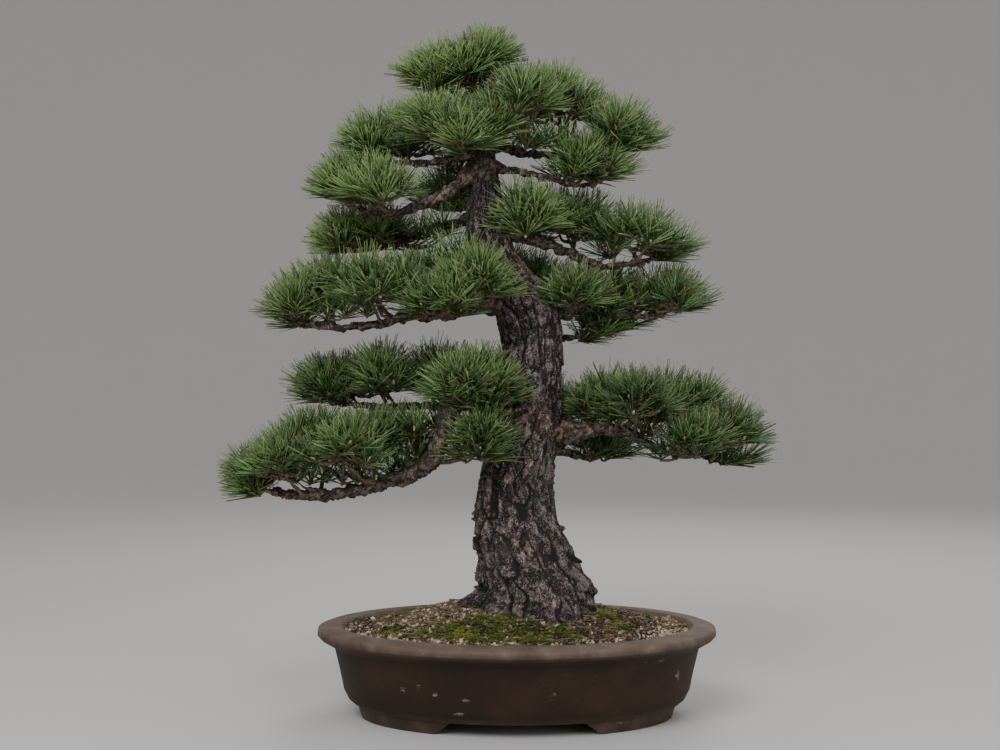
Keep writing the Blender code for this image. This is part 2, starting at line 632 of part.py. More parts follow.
def make_spray(name, draw, obstacles, group, material):
    """A spray: a slim stem from its seat on the limb, a twig to each shoot, and the shoots' needles."""
    start, seat, hub = spray_seat(name)
    shoots = shoots_built(name)
    away = (hub - start).normalized()
    crown = sum((way for _, _, way in shoots), away * HUB_LEAN).normalized()
    low, bend = seat + away * GAP, seat.lerp(hub, 0.5)
    to_world = UP.rotation_difference(away).to_matrix()
    to_crown = away.rotation_difference(crown).to_matrix()
    first = (to_crown @ to_world).transposed() @ (shoots[0][1] - hub)
    facing = Matrix.Rotation(math.atan2(first.y, first.x) - math.pi / 4, 3, "Z")
    bm = bmesh.new()
    bmesh.ops.create_cone(
        bm, cap_ends=True, segments=4, radius1=STEM_RADIUS, radius2=STEM_RADIUS, depth=(bend - low).length)
    bmesh.ops.rotate(bm, verts=bm.verts, matrix=to_world @ facing)
    bmesh.ops.translate(bm, verts=bm.verts, vec=(low + bend) / 2)
    bm.normal_update()
    top = max(bm.faces, key=lambda face: face.normal.dot(away))
    top = draw_out(bm, top, hub, crown, STEM_RADIUS)
    draw_out(bm, top, hub + crown * HUB_RISE, crown, HUB_TIP_RADIUS)
    bm.normal_update()

    # Each twig leaves the hub by the face that looks its way best.
    free = [face for face in bm.faces if (face.calc_center_median() - hub).length < STEM_RADIUS]
    aims = [(foot - hub).normalized() for _, foot, _ in shoots]
    chosen = max(
        permutations(free, len(aims)),
        key=lambda faces: min(face.normal.dot(aim) for face, aim in zip(faces, aims)))
    for face, (_, foot, way) in zip(chosen, shoots):
        face = draw_out(bm, face, foot, way, SHOOT_RADIUS)
        for share in SHOOT_RINGS:
            radius = SHOOT_RADIUS * (1 + (SHOOT_TIP_SHARE - 1) * share)
            face = draw_out(bm, face, foot + way * share * SHOOT_LENGTH, way, radius)
    bmesh.ops.triangulate(bm, faces=bm.faces)

    bearing = {k: [] for k, _, _ in shoots}
    for face in bm.faces:
        for k, foot, way in shoots:
            offset = face.calc_center_median() - foot
            height = offset.dot(way)
            if height > 0 and (offset - way * height).length < SHOOT_RADIUS:
                bearing[k].append(face)
    for k, foot, way in shoots:
        grow_needles(bm, bearing[k], foot, way, f"{name}_{k}", draw, obstacles)
    return object_from(f"needles_{name}", bm, group, material)


def make_wood(group, material):
    """Trunk with its root ball, limbs, and a branchlet for each spray, grown together as one body."""
    trunk = make_trunk("trunk_and_limbs", 0, group, material)
    pieces = [tube(limb, *limb_points(limb), group, material) for limb in LIMBS]
    for name in SPRAYS:
        start, seat, _ = spray_seat(name)
        pieces.append(rod("branchlet", 3, start, seat, BRANCHLET_RADIUS, group, material))
    join_all(trunk, pieces)
    return trunk


def build():
    clear_scene()
    tree = bpy.data.collections.new("black_pine_bonsai")
    cutters = bpy.data.collections.new("cutters")
    for collection in (tree, cutters):
        bpy.context.scene.collection.children.link(collection)
    materials = {name: make_material(name) for name in COLOURS}
    draw = random.Random(7)

    make_pot(tree, cutters, materials["clay"])
    trunk_hole = make_trunk("trunk_hole", 2 * GAP, cutters, materials["bark"])
    make_soil(tree, cutters, materials["soil"], trunk_hole)
    make_screen("drain_screen_left", -1, tree, materials["screen"])
    make_screen("drain_screen_right", 1, tree, materials["screen"])
    make_wood(tree, materials["bark"])
    obstacles = list_obstacles()
    for name in SPRAYS:
        make_spray(name, draw, obstacles, tree, materials["needles"])


build()
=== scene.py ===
"""Look of a Japanese black pine bonsai in an oval clay pot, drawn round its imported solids.

The wood, the sprays and the pot follow the solids' own tables and rules. What is added is the
bark's relief, more shoots on each spray, and fine needles in pairs. Grit and moss lie on the
soil's solid. Lengths in the tables are in millimetres and become metres through MM.
"""

import math
import random

import bpy
import numpy as np
from mathutils import Matrix, Vector, noise
from mathutils.bvhtree import BVHTree


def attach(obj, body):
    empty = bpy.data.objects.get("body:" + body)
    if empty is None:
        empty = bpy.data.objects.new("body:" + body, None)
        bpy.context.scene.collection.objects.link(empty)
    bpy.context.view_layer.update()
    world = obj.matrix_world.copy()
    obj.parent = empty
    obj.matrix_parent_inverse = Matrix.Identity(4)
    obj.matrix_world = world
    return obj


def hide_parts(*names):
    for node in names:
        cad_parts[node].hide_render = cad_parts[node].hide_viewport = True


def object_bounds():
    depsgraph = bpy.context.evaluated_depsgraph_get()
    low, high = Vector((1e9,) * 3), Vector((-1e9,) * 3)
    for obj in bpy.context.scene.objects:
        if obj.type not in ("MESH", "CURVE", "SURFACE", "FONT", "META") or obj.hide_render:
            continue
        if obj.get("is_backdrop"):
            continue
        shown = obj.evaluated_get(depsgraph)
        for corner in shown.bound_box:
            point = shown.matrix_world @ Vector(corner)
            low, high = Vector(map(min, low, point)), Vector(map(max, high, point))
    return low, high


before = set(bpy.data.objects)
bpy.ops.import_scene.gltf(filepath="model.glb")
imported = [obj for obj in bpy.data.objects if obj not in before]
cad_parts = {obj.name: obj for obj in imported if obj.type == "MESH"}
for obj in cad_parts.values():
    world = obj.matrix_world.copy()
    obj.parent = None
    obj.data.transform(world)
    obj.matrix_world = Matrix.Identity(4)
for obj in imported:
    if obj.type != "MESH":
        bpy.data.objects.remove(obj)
cad_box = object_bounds()

MM = 0.001
# Without a seed of its own, the noise differs from run to run.
NOISE_SEED = 2
UP = Vector((0, 0, 1))
draw = random.Random(11)

# Camera: level, in front of the tree, as the photo was taken.
PHOTO_WIDTH_PX = 1000
FOCAL_PX = 1520
SENSOR_MM = 36
CAMERA_AT = Vector((7.8, -1838, 408.5)) * MM

# Pot: an oval with a flat, rolled rim, standing on four feet.
POT_X = 28 * MM
RIM_HALF_LENGTH = 240 * MM
RIM_HALF_DEPTH = 180 * MM
FLOOR_Z = 25 * MM
UNDERSIDE_Z = 15 * MM
POT_SIDES = 144
# Inset from the rim's outer edge, and height: under the pot, up its outside and down its inside.
POT_PROFILE = [
    (112, 15), (74, 15), (72, 0), (52, 0), (48, 14.5), (44.5, 15.8), (37, 22), (31.5, 33), (27, 55),
    (20, 84), (4, 93.5), (0, 98), (1, 105.5), (9, 108.5), (27, 108.5), (31.5, 103), (36, 60), (41, 36),
    (52, 25.6), (112, 25),
]
POT_EDGE_RADIUS = 2.2 * MM
# Paler bands at the crest, the rim and the feet: wear, and on the crest and the rim also a painted
# highlight as lit from above. The heights where each starts and is full, and how full.
POT_WEAR_AND_HIGHLIGHT = [(100.5, 105.5, 0.35), (93, 103.5, 0.9), (24, 12, 0.35)]
# Chalky scuffs on the pot: middle, half-size and strength.
SCUFFS = [
    ((-64, -140, 49), (11, 40, 6), 0.9),
    ((-102, -118, 52), (9, 40, 11), 0.55),
    ((-84, -130, 58), (5, 40, 7), 0.7),
    ((-30, -148, 45), (9, 40, 6), 0.5),
    ((-38, -140, 29), (13, 40, 6), 0.6),
    ((214, -82, 63), (7, 40, 17), 0.7),
    ((150, -120, 10), (26, 60, 7), 0.7),
    ((66, -150, 52), (9, 40, 9), 0.35),
    ((186, -110, 84), (30, 60, 5), 0.4),
]
SCUFF_LEAN = (0, math.radians(-38), 0)
# Half-widths of the cut-outs between the feet, at the ground and at their top.
FOOT_GAP_FRONT = (93 * MM, 76 * MM)
FOOT_GAP_END = (24 * MM, 15 * MM)
FOOT_GAP_EXTRA = 0.3 * MM
DRAIN_X = 95 * MM
DRAIN_RADIUS = 14 * MM

# Trunk: points of its axis with its radius there, from the root ball up to the leader.
TRUNK = [
    (48, 0, 50, 52), (48, 0, 95, 74), (48, 0, 124, 73), (50, 0, 148, 69), (45, 1, 172, 65),
    (36, 2, 205, 58), (27, 3, 236, 50), (27, 4, 273, 47.5), (32, 5, 310, 46), (40, 6, 355, 42.5),
    (44, 7, 400, 40), (46, 7, 445, 38), (41, 5, 478, 39), (33, 3, 507, 37), (15, 1, 533, 33),
    (-2, -1, 560, 29.5), (-10, -2, 600, 24), (-11, -2, 640, 19.5), (-13, -1, 675, 15.5),
    (-16, 0, 706, 11),
]
TRUNK_FROM = 1 / 19
TRUNK_SIDES = 232
TRUNK_RINGS = 372
# Surface roots: bearing in degrees from +X, reach beyond the trunk, half-width in degrees.
ROOTS = [
    (186, 30, 17), (228, 9, 14), (292, 17, 20), (338, 9, 15), (35, 16, 18), (84, 22, 18), (135, 18, 20),
]
ROOT_TOP_Z = 126 * MM
ROOT_FADE = 34 * MM

# Bark: broad plates parted by narrow cracks, which lean on the lower trunk, each plate of flakes.
PLATE_WIDTH = 25 * MM
PLATE_HEIGHT = 46 * MM
PLATE_GIRTH = 50 * MM
PLATE_TWIST = 7.5
PLATE_TWIST_TOP_Z = 290 * MM
CRACK_DEPTH = 4.6 * MM
CRACK_WIDTH = (0.075, 0.125)
FULL_BARK_RADIUS = 40 * MM
BARK_FROM_Z = (88 * MM, 102 * MM)
PLATE_STEP = 1.8 * MM
PLATE_LIFT = 1.9 * MM
FLAKES_PER_PLATE = 4.6
FLAKE_STEP = 1.5 * MM
RAGGED = 0.2
# How far the level cracks, between plates one above the other, are closed, and which cracks count
# as level: the upright share of the way from plate to plate.
LEVEL_CLOSED = 0.4
LEVEL_CRACKS = (0.45, 0.9)
FLAKE_RAGGED = 0.3
# Knobs of dead bark that stand out: bearing in degrees, height, half-size and how far.
KNOBS = [
    (-14, 155, 12, 7), (-14, 183, 8, 6), (-8, 228, 9, 4), (186, 204, 14, 4.5), (184, 168, 17, 4.5),
    (182, 142, 12, 4), (172, 236, 7, 3),
]
KNOBBED_RADIUS = 60 * MM
# Bark's look: the colours of its flakes from deep to light, their size, and how much of it lichen and
# painted shade take.
# The painted shade darkens the bark in the crown, as the foliage's shade, and comes in over a stretch of
# the trunk.
BARKS = {
    "young_twig_bark": (("#54402f", "#86705a", "#b39c84", "#ddd0bc"), 2.4 * MM, 0.3, 0.0),
    "plated_pine_bark": (("#241d1d", "#574c4d", "#928586", "#f4eaea"), 5 * MM, 0.15, 0.5),
    "scaly_limb_bark": (("#40332d", "#78685d", "#a99a8c", "#e8ddd0"), 3.4 * MM, 0.45, 0.0),
}
CROWN_SHADE_FROM_Z = (550 * MM, 630 * MM)
FLAKE_WANDER = 7 * MM
SHEETS_OF_BARK = 9

# Limbs: radius at the trunk, radius at the tip, and the route of the middle.
LIMBS = {
    "leader": (9.5, 3.5, [(-15, 0, 690), (-20, -1, 720), (-24, -2, 748), (-19, -3, 768)]),
    "crown_right": (8.5, 3, [(-14, 0, 690), (22, 3, 681), (62, 4, 674), (105, 2, 675), (133, 1, 681)]),
    "crown_left": (6.5, 3, [(-15, -4, 694), (-32, -20, 684), (-54, -28, 682), (-72, -28, 688)]),
    "top_left": (7, 3, [
        (-12, 0, 676), (-46, -6, 670), (-82, -10, 663), (-114, -9, 665), (-134, -7, 667),
    ]),
    "crown_low_right": (6, 3, [
        (-9, 0, 661), (26, -12, 654), (62, -17, 645), (98, -16, 636), (118, -14, 637),
    ]),
    "high_left": (11, 3.5, [
        (-10, -4, 658), (-38, -20, 640), (-64, -27, 622), (-95, -30, 608), (-130, -26, 600),
        (-164, -20, 608),
    ]),
    "high_back_left": (8, 3, [
        (-10, 6, 602), (-54, 30, 594), (-96, 42, 581), (-141, 42, 567), (-166, 38, 562),
    ]),
    "high_right": (10, 3.5, [
        (-6, 0, 594), (28, -2, 579), (63, -6, 566), (99, -8, 552), (132, -8, 541), (170, -5, 543),
        (196, -2, 549),
    ]),
    "mid_left": (11, 3.5, [
        (22, -2, 499), (-14, -20, 495), (-52, -27, 484), (-97, -27, 480), (-131, -22, 471),
        (-178, -17, 465), (-216, -12, 468), (-230, -10, 471),
    ]),
    "mid_right": (8.5, 3, [
        (52, 2, 478), (83, 4, 486), (111, 6, 492), (144, 9, 485), (184, 8, 480), (208, 5, 484),
    ]),
    "mid_low_right": (6, 3, [(42, 10, 446), (76, 32, 452), (106, 40, 455)]),
    "low_back_left": (9, 3, [
        (24, 15, 376), (-23, 45, 374), (-77, 60, 370), (-127, 66, 368), (-179, 60, 371), (-203, 56, 374),
    ]),
    "low_left": (14, 4, [
        (22, -5, 398), (-16, -34, 394), (-42, -54, 380), (-56, -65, 350), (-64, -64, 322),
        (-86, -58, 297), (-120, -48, 283), (-170, -38, 271), (-224, -30, 265), (-262, -27, 269),
    ]),
    "low_right": (11, 3.5, [
        (52, 0, 338), (90, -5, 339), (123, -10, 343), (157, -12, 341), (190, -14, 323), (236, -15, 311),
        (280, -11, 313),
    ]),
    "low_back_right": (7.5, 3, [(46, 20, 322), (89, 55, 312), (122, 74, 303)]),
    "back_low": (9, 3.5, [(40, 12, 386), (40, 58, 372), (50, 98, 352)]),
    "back_mid": (9, 3.5, [(30, 12, 498), (24, 55, 510), (14, 88, 515)]),
    "back_high": (7, 3, [(-11, 2, 630), (-24, 34, 628), (-44, 56, 618)]),
}
LIMB_TAPER = 0.7
LIMB_GROWTH = 1.06
LIMB_RING_SPACING = 2.4 * MM
LIMB_ROUNDNESS = 8
LIMB_COLLAR = 0.5
LIMB_KNOTS = 0.36
LIMB_WANDER = 0.55
LIMB_FLAKE = 5.5 * MM
LIMB_FLAKE_STEP = 1.7 * MM
LIMB_CRACK_WIDTH = 0.22
LIMB_CRACK_DEPTH = 1.0 * MM

# Sprays: limb, place along it from 0 to 1, middle of its buds, and how far the buds spread each way.
SPRAYS = {
    "apex_1": ("leader", 1.00, (-8, 0, 795), (8, 12, 5)),
    "apex_2": ("leader", 0.80, (-41, -6, 780), (12, 17, 5)),
    "apex_3": ("leader", 0.45, (-72, -5, 771), (10, 14, 6)),
    "apex_back": ("leader", 0.15, (-6, 44, 728), (18, 14, 8)),
    "crown_right_1": ("crown_right", 0.28, (34, -38, 740), (18, 20, 9)),
    "crown_right_2": ("crown_right", 0.66, (86, 26, 744), (27, 28, 9)),
    "crown_right_3": ("crown_right", 1.00, (153, -10, 705), (16, 26, 8)),
    "crown_left_1": ("crown_left", 1.00, (-72, -32, 709), (12, 16, 8)),
    "crown_left_2": ("crown_left", 0.50, (-37, -56, 694), (13, 12, 8)),
    "crown_left_3": ("crown_left", 0.22, (0, -38, 712), (12, 13, 8)),
    "top_left_1": ("top_left", 1.00, (-146, -5, 686), (8, 18, 6)),
    "top_left_2": ("top_left", 0.72, (-110, 22, 698), (14, 24, 8)),
    "crown_low_right_1": ("crown_low_right", 1.00, (129, -12, 658), (10, 18, 5)),
    "crown_low_right_2": ("crown_low_right", 0.70, (98, -20, 660), (11, 22, 5)),
    "high_left_1": ("high_left", 1.00, (-180, -18, 635), (8, 18, 6)),
    "high_left_2": ("high_left", 0.78, (-137, -46, 635), (16, 24, 8)),
    "high_back_left_1": ("high_back_left", 1.00, (-184, 36, 582), (9, 18, 6)),
    "high_back_left_2": ("high_back_left", 0.72, (-138, 62, 590), (16, 24, 6)),
    "high_right_1": ("high_right", 0.20, (42, -24, 603), (14, 24, 8)),
    "high_right_2": ("high_right", 0.50, (100, 28, 598), (30, 30, 9)),
    "high_right_3": ("high_right", 0.86, (172, -22, 580), (30, 28, 8)),
    "mid_left_1": ("mid_left", 1.00, (-239, -8, 491), (9, 22, 6)),
    "mid_left_2": ("mid_left", 0.82, (-198, 24, 521), (26, 28, 10)),
    "mid_left_3": ("mid_left", 0.56, (-138, -54, 522), (24, 26, 11)),
    "mid_left_4": ("mid_left", 0.34, (-82, 22, 531), (20, 28, 11)),
    "mid_left_5": ("mid_left", 0.16, (-18, -68, 529), (14, 13, 12)),
    "mid_left_6": ("mid_left", 0.36, (-64, -62, 497), (20, 18, 5)),
    "mid_right_1": ("mid_right", 0.25, (96, -16, 510), (12, 18, 5)),
    "mid_right_2": ("mid_right", 0.62, (154, 36, 505), (28, 26, 8)),
    "mid_right_3": ("mid_right", 1.00, (219, -6, 504), (14, 28, 8)),
    "mid_low_right_1": ("mid_low_right", 1.00, (129, 42, 478), (19, 18, 5)),
    "low_back_left_1": ("low_back_left", 1.00, (-211, 53, 396), (10, 18, 6)),
    "low_back_left_2": ("low_back_left", 0.82, (-180, 84, 404), (16, 24, 8)),
    "low_back_left_3": ("low_back_left", 0.60, (-136, 34, 409), (16, 26, 8)),
    "low_back_left_4": ("low_back_left", 0.42, (-84, 86, 409), (16, 24, 8)),
    "low_back_left_5": ("low_back_left", 0.20, (-36, 32, 404), (13, 18, 8)),
    "low_left_1": ("low_left", 1.00, (-284, -25, 288), (9, 22, 6)),
    "low_left_2": ("low_left", 0.90, (-246, -58, 310), (16, 22, 8)),
    "low_left_3": ("low_left", 0.80, (-212, 8, 331), (22, 28, 10)),
    "low_left_4": ("low_left", 0.68, (-168, -72, 332), (24, 26, 10)),
    "low_left_5": ("low_left", 0.60, (-120, -6, 334), (26, 28, 10)),
    "low_left_6": ("low_left", 0.44, (-18, -68, 338), (14, 12, 12)),
    "low_left_7": ("low_left", 0.10, (0, -60, 399), (12, 10, 7)),
    "low_left_8": ("low_left", 0.18, (-42, -80, 404), (14, 10, 7)),
    "low_right_1": ("low_right", 0.30, (124, 22, 378), (12, 22, 7)),
    "low_right_2": ("low_right", 0.50, (172, -44, 380), (18, 26, 9)),
    "low_right_3": ("low_right", 0.76, (222, 32, 368), (28, 30, 9)),
    "low_right_4": ("low_right", 1.00, (285, -8, 338), (13, 28, 8)),
    "low_right_5": ("low_right", 0.80, (234, -52, 334), (24, 18, 7)),
    "low_back_right_1": ("low_back_right", 1.00, (138, 84, 328), (20, 22, 6)),
    "back_low_1": ("back_low", 0.70, (18, 100, 412), (20, 20, 8)),
    "back_low_2": ("back_low", 1.00, (68, 118, 372), (20, 18, 7)),
    "back_mid_1": ("back_mid", 1.00, (-4, 112, 542), (24, 20, 8)),
    "back_mid_2": ("back_mid", 0.55, (54, 92, 528), (18, 18, 8)),
    "back_high_1": ("back_high", 1.00, (-60, 64, 636), (22, 16, 8)),
}
BRANCHLET_SHARE = 0.45
BRANCHLET_LEAST = 2.5 * MM
STEM_LEAST = 8 * MM
HUB_BELOW_BUDS = 15 * MM
GOLDEN_ANGLE = math.radians(137.5)
BUD_DOME = (0.6, -1.4)
BUD_LEAN = 0.65
# How much of their lean back towards the trunk the shoots of the inner side lose.
INNER_UPRIGHT = 0.7
LIMB_LEAN = (0.1, 0.55)
SHOOT_LENGTH = 9 * MM
SHOOT_BELOW_BUD = 8 * MM
# The shoots follow the dome outwards past its edge and down, which joins the sprays into pads.
SHOOTS_ON_SPRAY = 22
SHOOTS_REACH = 1.5
SHOOT_STRAY = 6 * MM
SHOOT_TURN = 0.4
# Shoots on the way to the nearest spray of the same limb.
SHOOTS_BETWEEN = 5
BETWEEN_FROM = 0.25
BETWEEN_SPAN = 0.35
BETWEEN_LOWER = 3 * MM
SHOOTS_ON_TWIG = 5
# How much higher than the rule the shoots of a spray stand.
LIFTS = {
    "crown_right_1": 3, "crown_right_2": 4, "top_left_1": 3, "top_left_2": 3, "high_left_1": 3,
    "high_right_2": 8, "mid_right_2": 3, "mid_right_3": 4, "low_back_left_3": 4,
    "low_back_left_4": 3, "low_left_2": 4, "low_left_3": 5, "low_left_5": 4, "low_right_2": 3,
    "low_right_3": 14, "low_right_4": 7,
}
MORE_SHOOTS_TURN = 0.15
# Shoots where a pad would be bare, each with how much it leans outwards.
MORE_SHOOTS = {
    "high_right_3": [
        (196, -8, 552, 1), (202, 4, 549, 1), (207, -3, 556, 1), (194, -15, 546, 1), (190, 10, 556, 0.7)],
    "low_left_1": [(-284, -18, 292, 1), (-287, -34, 296, 1), (-282, -26, 288, 1)],
    "low_left_2": [(-232, -40, 326, 0.3), (-240, -50, 320, 0.4), (-226, -30, 330, 0.3)],
    "low_left_3": [(-236, -22, 280, 0.2), (-218, -34, 278, 0), (-199, -20, 280, 0)],
    "low_left_4": [(-178, -52, 279, 0.1), (-159, -44, 281, 0), (-140, -54, 283, 0.1)],
    "low_left_5": [
        (-84, -40, 340, 0.2), (-72, -22, 344, 0), (-92, -52, 334, 0.2), (-122, -38, 288, 0),
        (-105, -44, 293, 0.1), (-89, -36, 300, 0)],
    "low_right_2": [(178, -20, 334, 0), (189, -30, 332, 0.1)],
    "low_right_4": [
        (258, -22, 303, 0.7), (276, -4, 301, 0.9), (290, -16, 302, 1), (298, 2, 305, 1),
        (270, -32, 302, 0.8)],
    "crown_right_1": [(48, -32, 676, 0.3), (62, -22, 680, 0.2), (38, -38, 675, 0.2), (72, -26, 679, 0.4)],
    "apex_3": [(-84, -8, 766, 0.6), (-80, 4, 770, 0.5)],
    "top_left_1": [(-156, -8, 682, 0.7), (-152, 6, 686, 0.6)],
    "high_left_1": [(-180, -14, 644, 0.5), (-172, -26, 646, 0.4)],
    "high_back_left_1": [(-186, 36, 562, 1), (-180, 28, 560, 1)],
    "high_back_left_2": [(-84, 36, 574, 0), (-70, 32, 577, 0.1), (-94, 40, 573, 0.2), (-60, 30, 580, 0)],
    "back_high_1": [(-44, 52, 656, 0), (-58, 56, 660, 0), (-34, 50, 652, 0.1)],
    "high_right_1": [(22, -28, 610, 0), (31, -34, 607, 0)],
    "mid_left_3": [(-196, -30, 474, 0.1), (-176, -36, 475, 0), (-150, -34, 477, 0)],
    "mid_left_1": [(-230, -6, 503, 0.4), (-226, 6, 506, 0.4)],
    "mid_left_4": [(-50, -20, 544, 0), (-62, -32, 538, 0.2), (-40, -36, 547, 0), (-30, -24, 540, 0)],
}
# A branch leaves its limb a share of the limb before its spray, sags a little, and thins to its stem.
BRANCH_BEFORE = 0.1
BRANCH_AT_TIP = 0.97
BRANCH_SHARE = 0.72
BRANCH_SAG = 0.04
BRANCH_TAPER = 0.6
BRANCH_WANDER = 2.5 * MM
BRANCH_RING_SPACING = 5 * MM
STEM_RADIUS = 2.1 * MM
FORK_RADIUS = 2.1 * MM
FORK_AT = (0.4, 0.65)
FORK_BELOW_MM = 3
TWIG_RADIUS = 1.6 * MM
# Part of the twigs start as spurs on the limb itself.
SPUR_SHARE = 0.35
SPUR_RADIUS = 2.7 * MM
SPUR_OFF = (-0.12, 0.08)
TWIG_KINK = 1.1 * MM
SHOOT_RADIUS = (1.7 * MM, 1.2 * MM)

# Needles: in pairs from one sheath, nearly level at the shoot's foot and upright at its tip.
PAIRS_ON_SHOOT = 17
PAIRS_SHARES = (0.75, 1.25)
SHOOT_VIGOUR = (0.9, 1.06)
NEEDLE_LENGTH = 40 * MM
NEEDLE_LENGTHS = (0.84, 1.06)
NEEDLE_SPREAD = (math.radians(84), math.radians(16))
NEEDLE_SWAY = math.radians(6)
NEEDLE_HALF_WIDTH = 0.82 * MM
NEEDLE_HALF_THICKNESS = 0.6 * MM
NEEDLE_ARCH = 0.03
NEEDLE_BEND = 0.02
# Most needles that would point lower than this are raised, and all that would point far down.
NEEDLE_LOWEST = -0.05
NEEDLE_NEVER_BELOW = -0.3
NEEDLE_RAISED = (-0.1, 0.6)
RAISED_SHARE = 0.95
PAIR_ANGLE = (math.radians(1.5), math.radians(8))
# Tints from shade, 0, to sun, 1: how far shoots, pairs and needles stray, and how much lighter
# the tip of a shoot is. The lowest tints are brown, for old needles.
SHOOT_TINT = 0.1
PAIR_TINT = 0.3
NEEDLE_TINT = 0.05
TIP_TINT = 0.14
OLD_NEEDLES = 0.08
OLD_TINTS = (0, 0.1)
# How light the pads are: in the middle, and how much more at the crown, the left and the back.
SUN_MIDDLE = 0.5
SUN_AT_CROWN = 0.26
SUN_AT_LEFT = 0.3
SUN_AT_BACK = 1.3
SUN_CLOUDS = 0.14
SUN_CLOUD_SIZE = 60 * MM
PADS_FROM_Z = 260 * MM
PADS_HEIGHT = 560 * MM
BUD_SIZE = (2.1 * MM, 7.5 * MM)
BUD_SIZES = (0.8, 1.2)
BUD_SUNK = 1.5 * MM
BUD_STRAY = 0.3
SIDE_BUDS = 0.4
SIDE_BUD_SIZES = (0.5, 0.75)

# Stage: a round floor that curves up into a low wall.
STAGE_RADIUS = 3.2
STAGE_CURVE = 4
STAGE_STEPS = 8
# Lamps: place, size and power.
LAMPS = {
    "key": ((-0.8, -2.0, 1.9), 1.5, 42),
    "fill": ((1.9, -1.6, 1.0), 1.6, 17),
    "rim": ((0.6, 1.8, 1.9), 1.4, 16),
}
LAMPS_AIM = Vector((0, 0, 0.4))

# Soil: grit of fired clay and pumice, with moss at the trunk's foot.
GRIT_SPACING = 3.7 * MM
GRIT_SIZE = (1.1 * MM, 2.9 * MM)
GRAIN_KINDS = 5
# Tint of the grains, the share of pale pumice, and how much more of it lies at the front edge.
GRIT_TINT = 0.55
PUMICE_SHARE = 0.07
PUMICE_AT_FRONT = 0.3
# Zones of darker or lighter grit: the change, and where it starts and is full along x, and along y.
GRIT_ZONES = [
    (-0.22, (0, 90)), (-0.25, (110, 150), (-50, 0)), (0.3, (185, 205)), (-0.45, (-130, -155), (-90, -40)),
]
STRAW_SPACING = 11 * MM
STRAW_SIZE = (4 * MM, 12 * MM)
STRAW_HALF_WIDTH_MM = 0.6
STRAW_HALF_THICKNESS_MM = 0.45
STRAW_LIFT_MM = 3
STRAW_RISE = 0.3
# What lies on the soil is set out in staggered rows, a little astray, and dropped from above.
ROW_SHARE = 0.87
PLACE_STRAY = 0.35
ABOVE_SOIL_MM = 300
SOIL_TOP_LEAST = 96 * MM
SOIL_STEEPEST = 0.3
# Larger stones at both ends: x, y, how far they lie spread, their number and lightness.
STONE_BEDS = [(-160, 46, 14, 12, 0.0), (216, 44, 16, 12, 0.72), (-150, 34, 6, 2, 0.95)]
STONE_SIZE = (2.6 * MM, 5 * MM)
# Moss patches: x, y and radius.
MOSS = [
    (-6, -98, 46), (-44, -92, 34), (34, -112, 40), (78, -108, 26), (-120, -62, 22), (-88, -92, 20),
    (132, -36, 26), (150, -62, 20), (44, 104, 44), (-40, 84, 36), (-110, 20, 20),
]
MOSS_SPACING = 5.5 * MM
MOSS_COVERS = 0.55
MOSS_HIDES = 0.75
MOSS_RADII_MM = (2, 5)
MOSS_SHOOTS = 18
MOSS_SHOOT_LENGTHS_MM = (1.6, 3.4)
MOSS_SHOOT_RADIUS_MM = 0.55
# Old needles that fell on the soil, in pairs.
FALLEN_NEEDLES = 60
FALLEN_SPACING = 12 * MM
FALLEN_LENGTHS = (0.5, 0.9)
FALLEN_LIFT_MM = 3.2
FALLEN_TINTS = (0, 0.08)


def linear(hex_colour):
    """An sRGB hex colour as linear red, green, blue and alpha."""
    shares = [int(hex_colour[i:i + 2], 16) / 255 for i in (1, 3, 5)]
    return [s / 12.92 if s <= 0.04045 else ((s + 0.055) / 1.055) ** 2.4 for s in shares] + [1]


def set_inputs(tree, target, inputs):
    """Sets each input of a node to a value, or links it if it is given a socket."""
    for key, value in inputs.items():
        if isinstance(value, bpy.types.NodeSocket):
            tree.links.new(value, target.inputs[key])
        else:
            target.inputs[key].default_value = value


def node(tree, kind, inputs=None, stops=None, out=0, **settings):
    """Adds a shader node with its settings and inputs, and gives one of its outputs.

    A MapRange reads the range of its inputs 1 and 2 and gives that of 3 and 4, and a Mix has its two
    colours at 6 and 7 and its result at 2.
    """
    new = tree.nodes.new("ShaderNode" + kind)
    for name, value in settings.items():
        setattr(new, name, value)
    set_inputs(tree, new, inputs or {})
    if stops:
        elements = new.color_ramp.elements
        while len(elements) < len(stops):
            elements.new(0.5)
        for element, (place, colour) in zip(elements, stops):
            element.position, element.color = place, linear(colour)
    return new.outputs[out]


def new_material(name):
    """An empty material's node tree and its shader."""
    material = bpy.data.materials.new(name)
    material.use_nodes = True
    return material, material.node_tree, material.node_tree.nodes["Principled BSDF"]


def smoothstep(low, high, value):
    t = min(1.0, max(0.0, (value - low) / (high - low)))
    return t * t * (3 - 2 * t)


def along(points, t):
    """The values a share t of the way along a smooth curve through the points."""
    last = len(points) - 1
    i = min(int(t * last), last - 1)
    f = t * last - i
    p1, p2 = np.array(points[i], float), np.array(points[i + 1], float)
    p0 = np.array(points[i - 1], float) if i else 2 * p1 - p2
    p3 = np.array(points[i + 2], float) if i + 2 <= last else 2 * p2 - p1
    straight = 2 * p1 + (p2 - p0) * f
    bend = (2 * p0 - 5 * p1 + 4 * p2 - p3) * f**2 + (3 * p1 - p0 - 3 * p2 + p3) * f**3
    return 0.5 * (straight + bend)


def bend_through(start, control, end, t):
    """A point a share t of the way along a curve that leaves and arrives through the control point."""
    return start.lerp(control, t).lerp(control.lerp(end, t), t)


def facing(bearing, rise=0):
    """The way to a bearing in radians from +X, level or rising."""
    return Vector((math.cos(bearing), math.sin(bearing), rise))


def swing(size):
    """A number at random, up to this size either way."""
    return draw.uniform(-size, size)


def stray(size=1):
    """A step at random, as large on average in x, y and z."""
    return Vector([draw.gauss(0, size) for _ in range(3)])


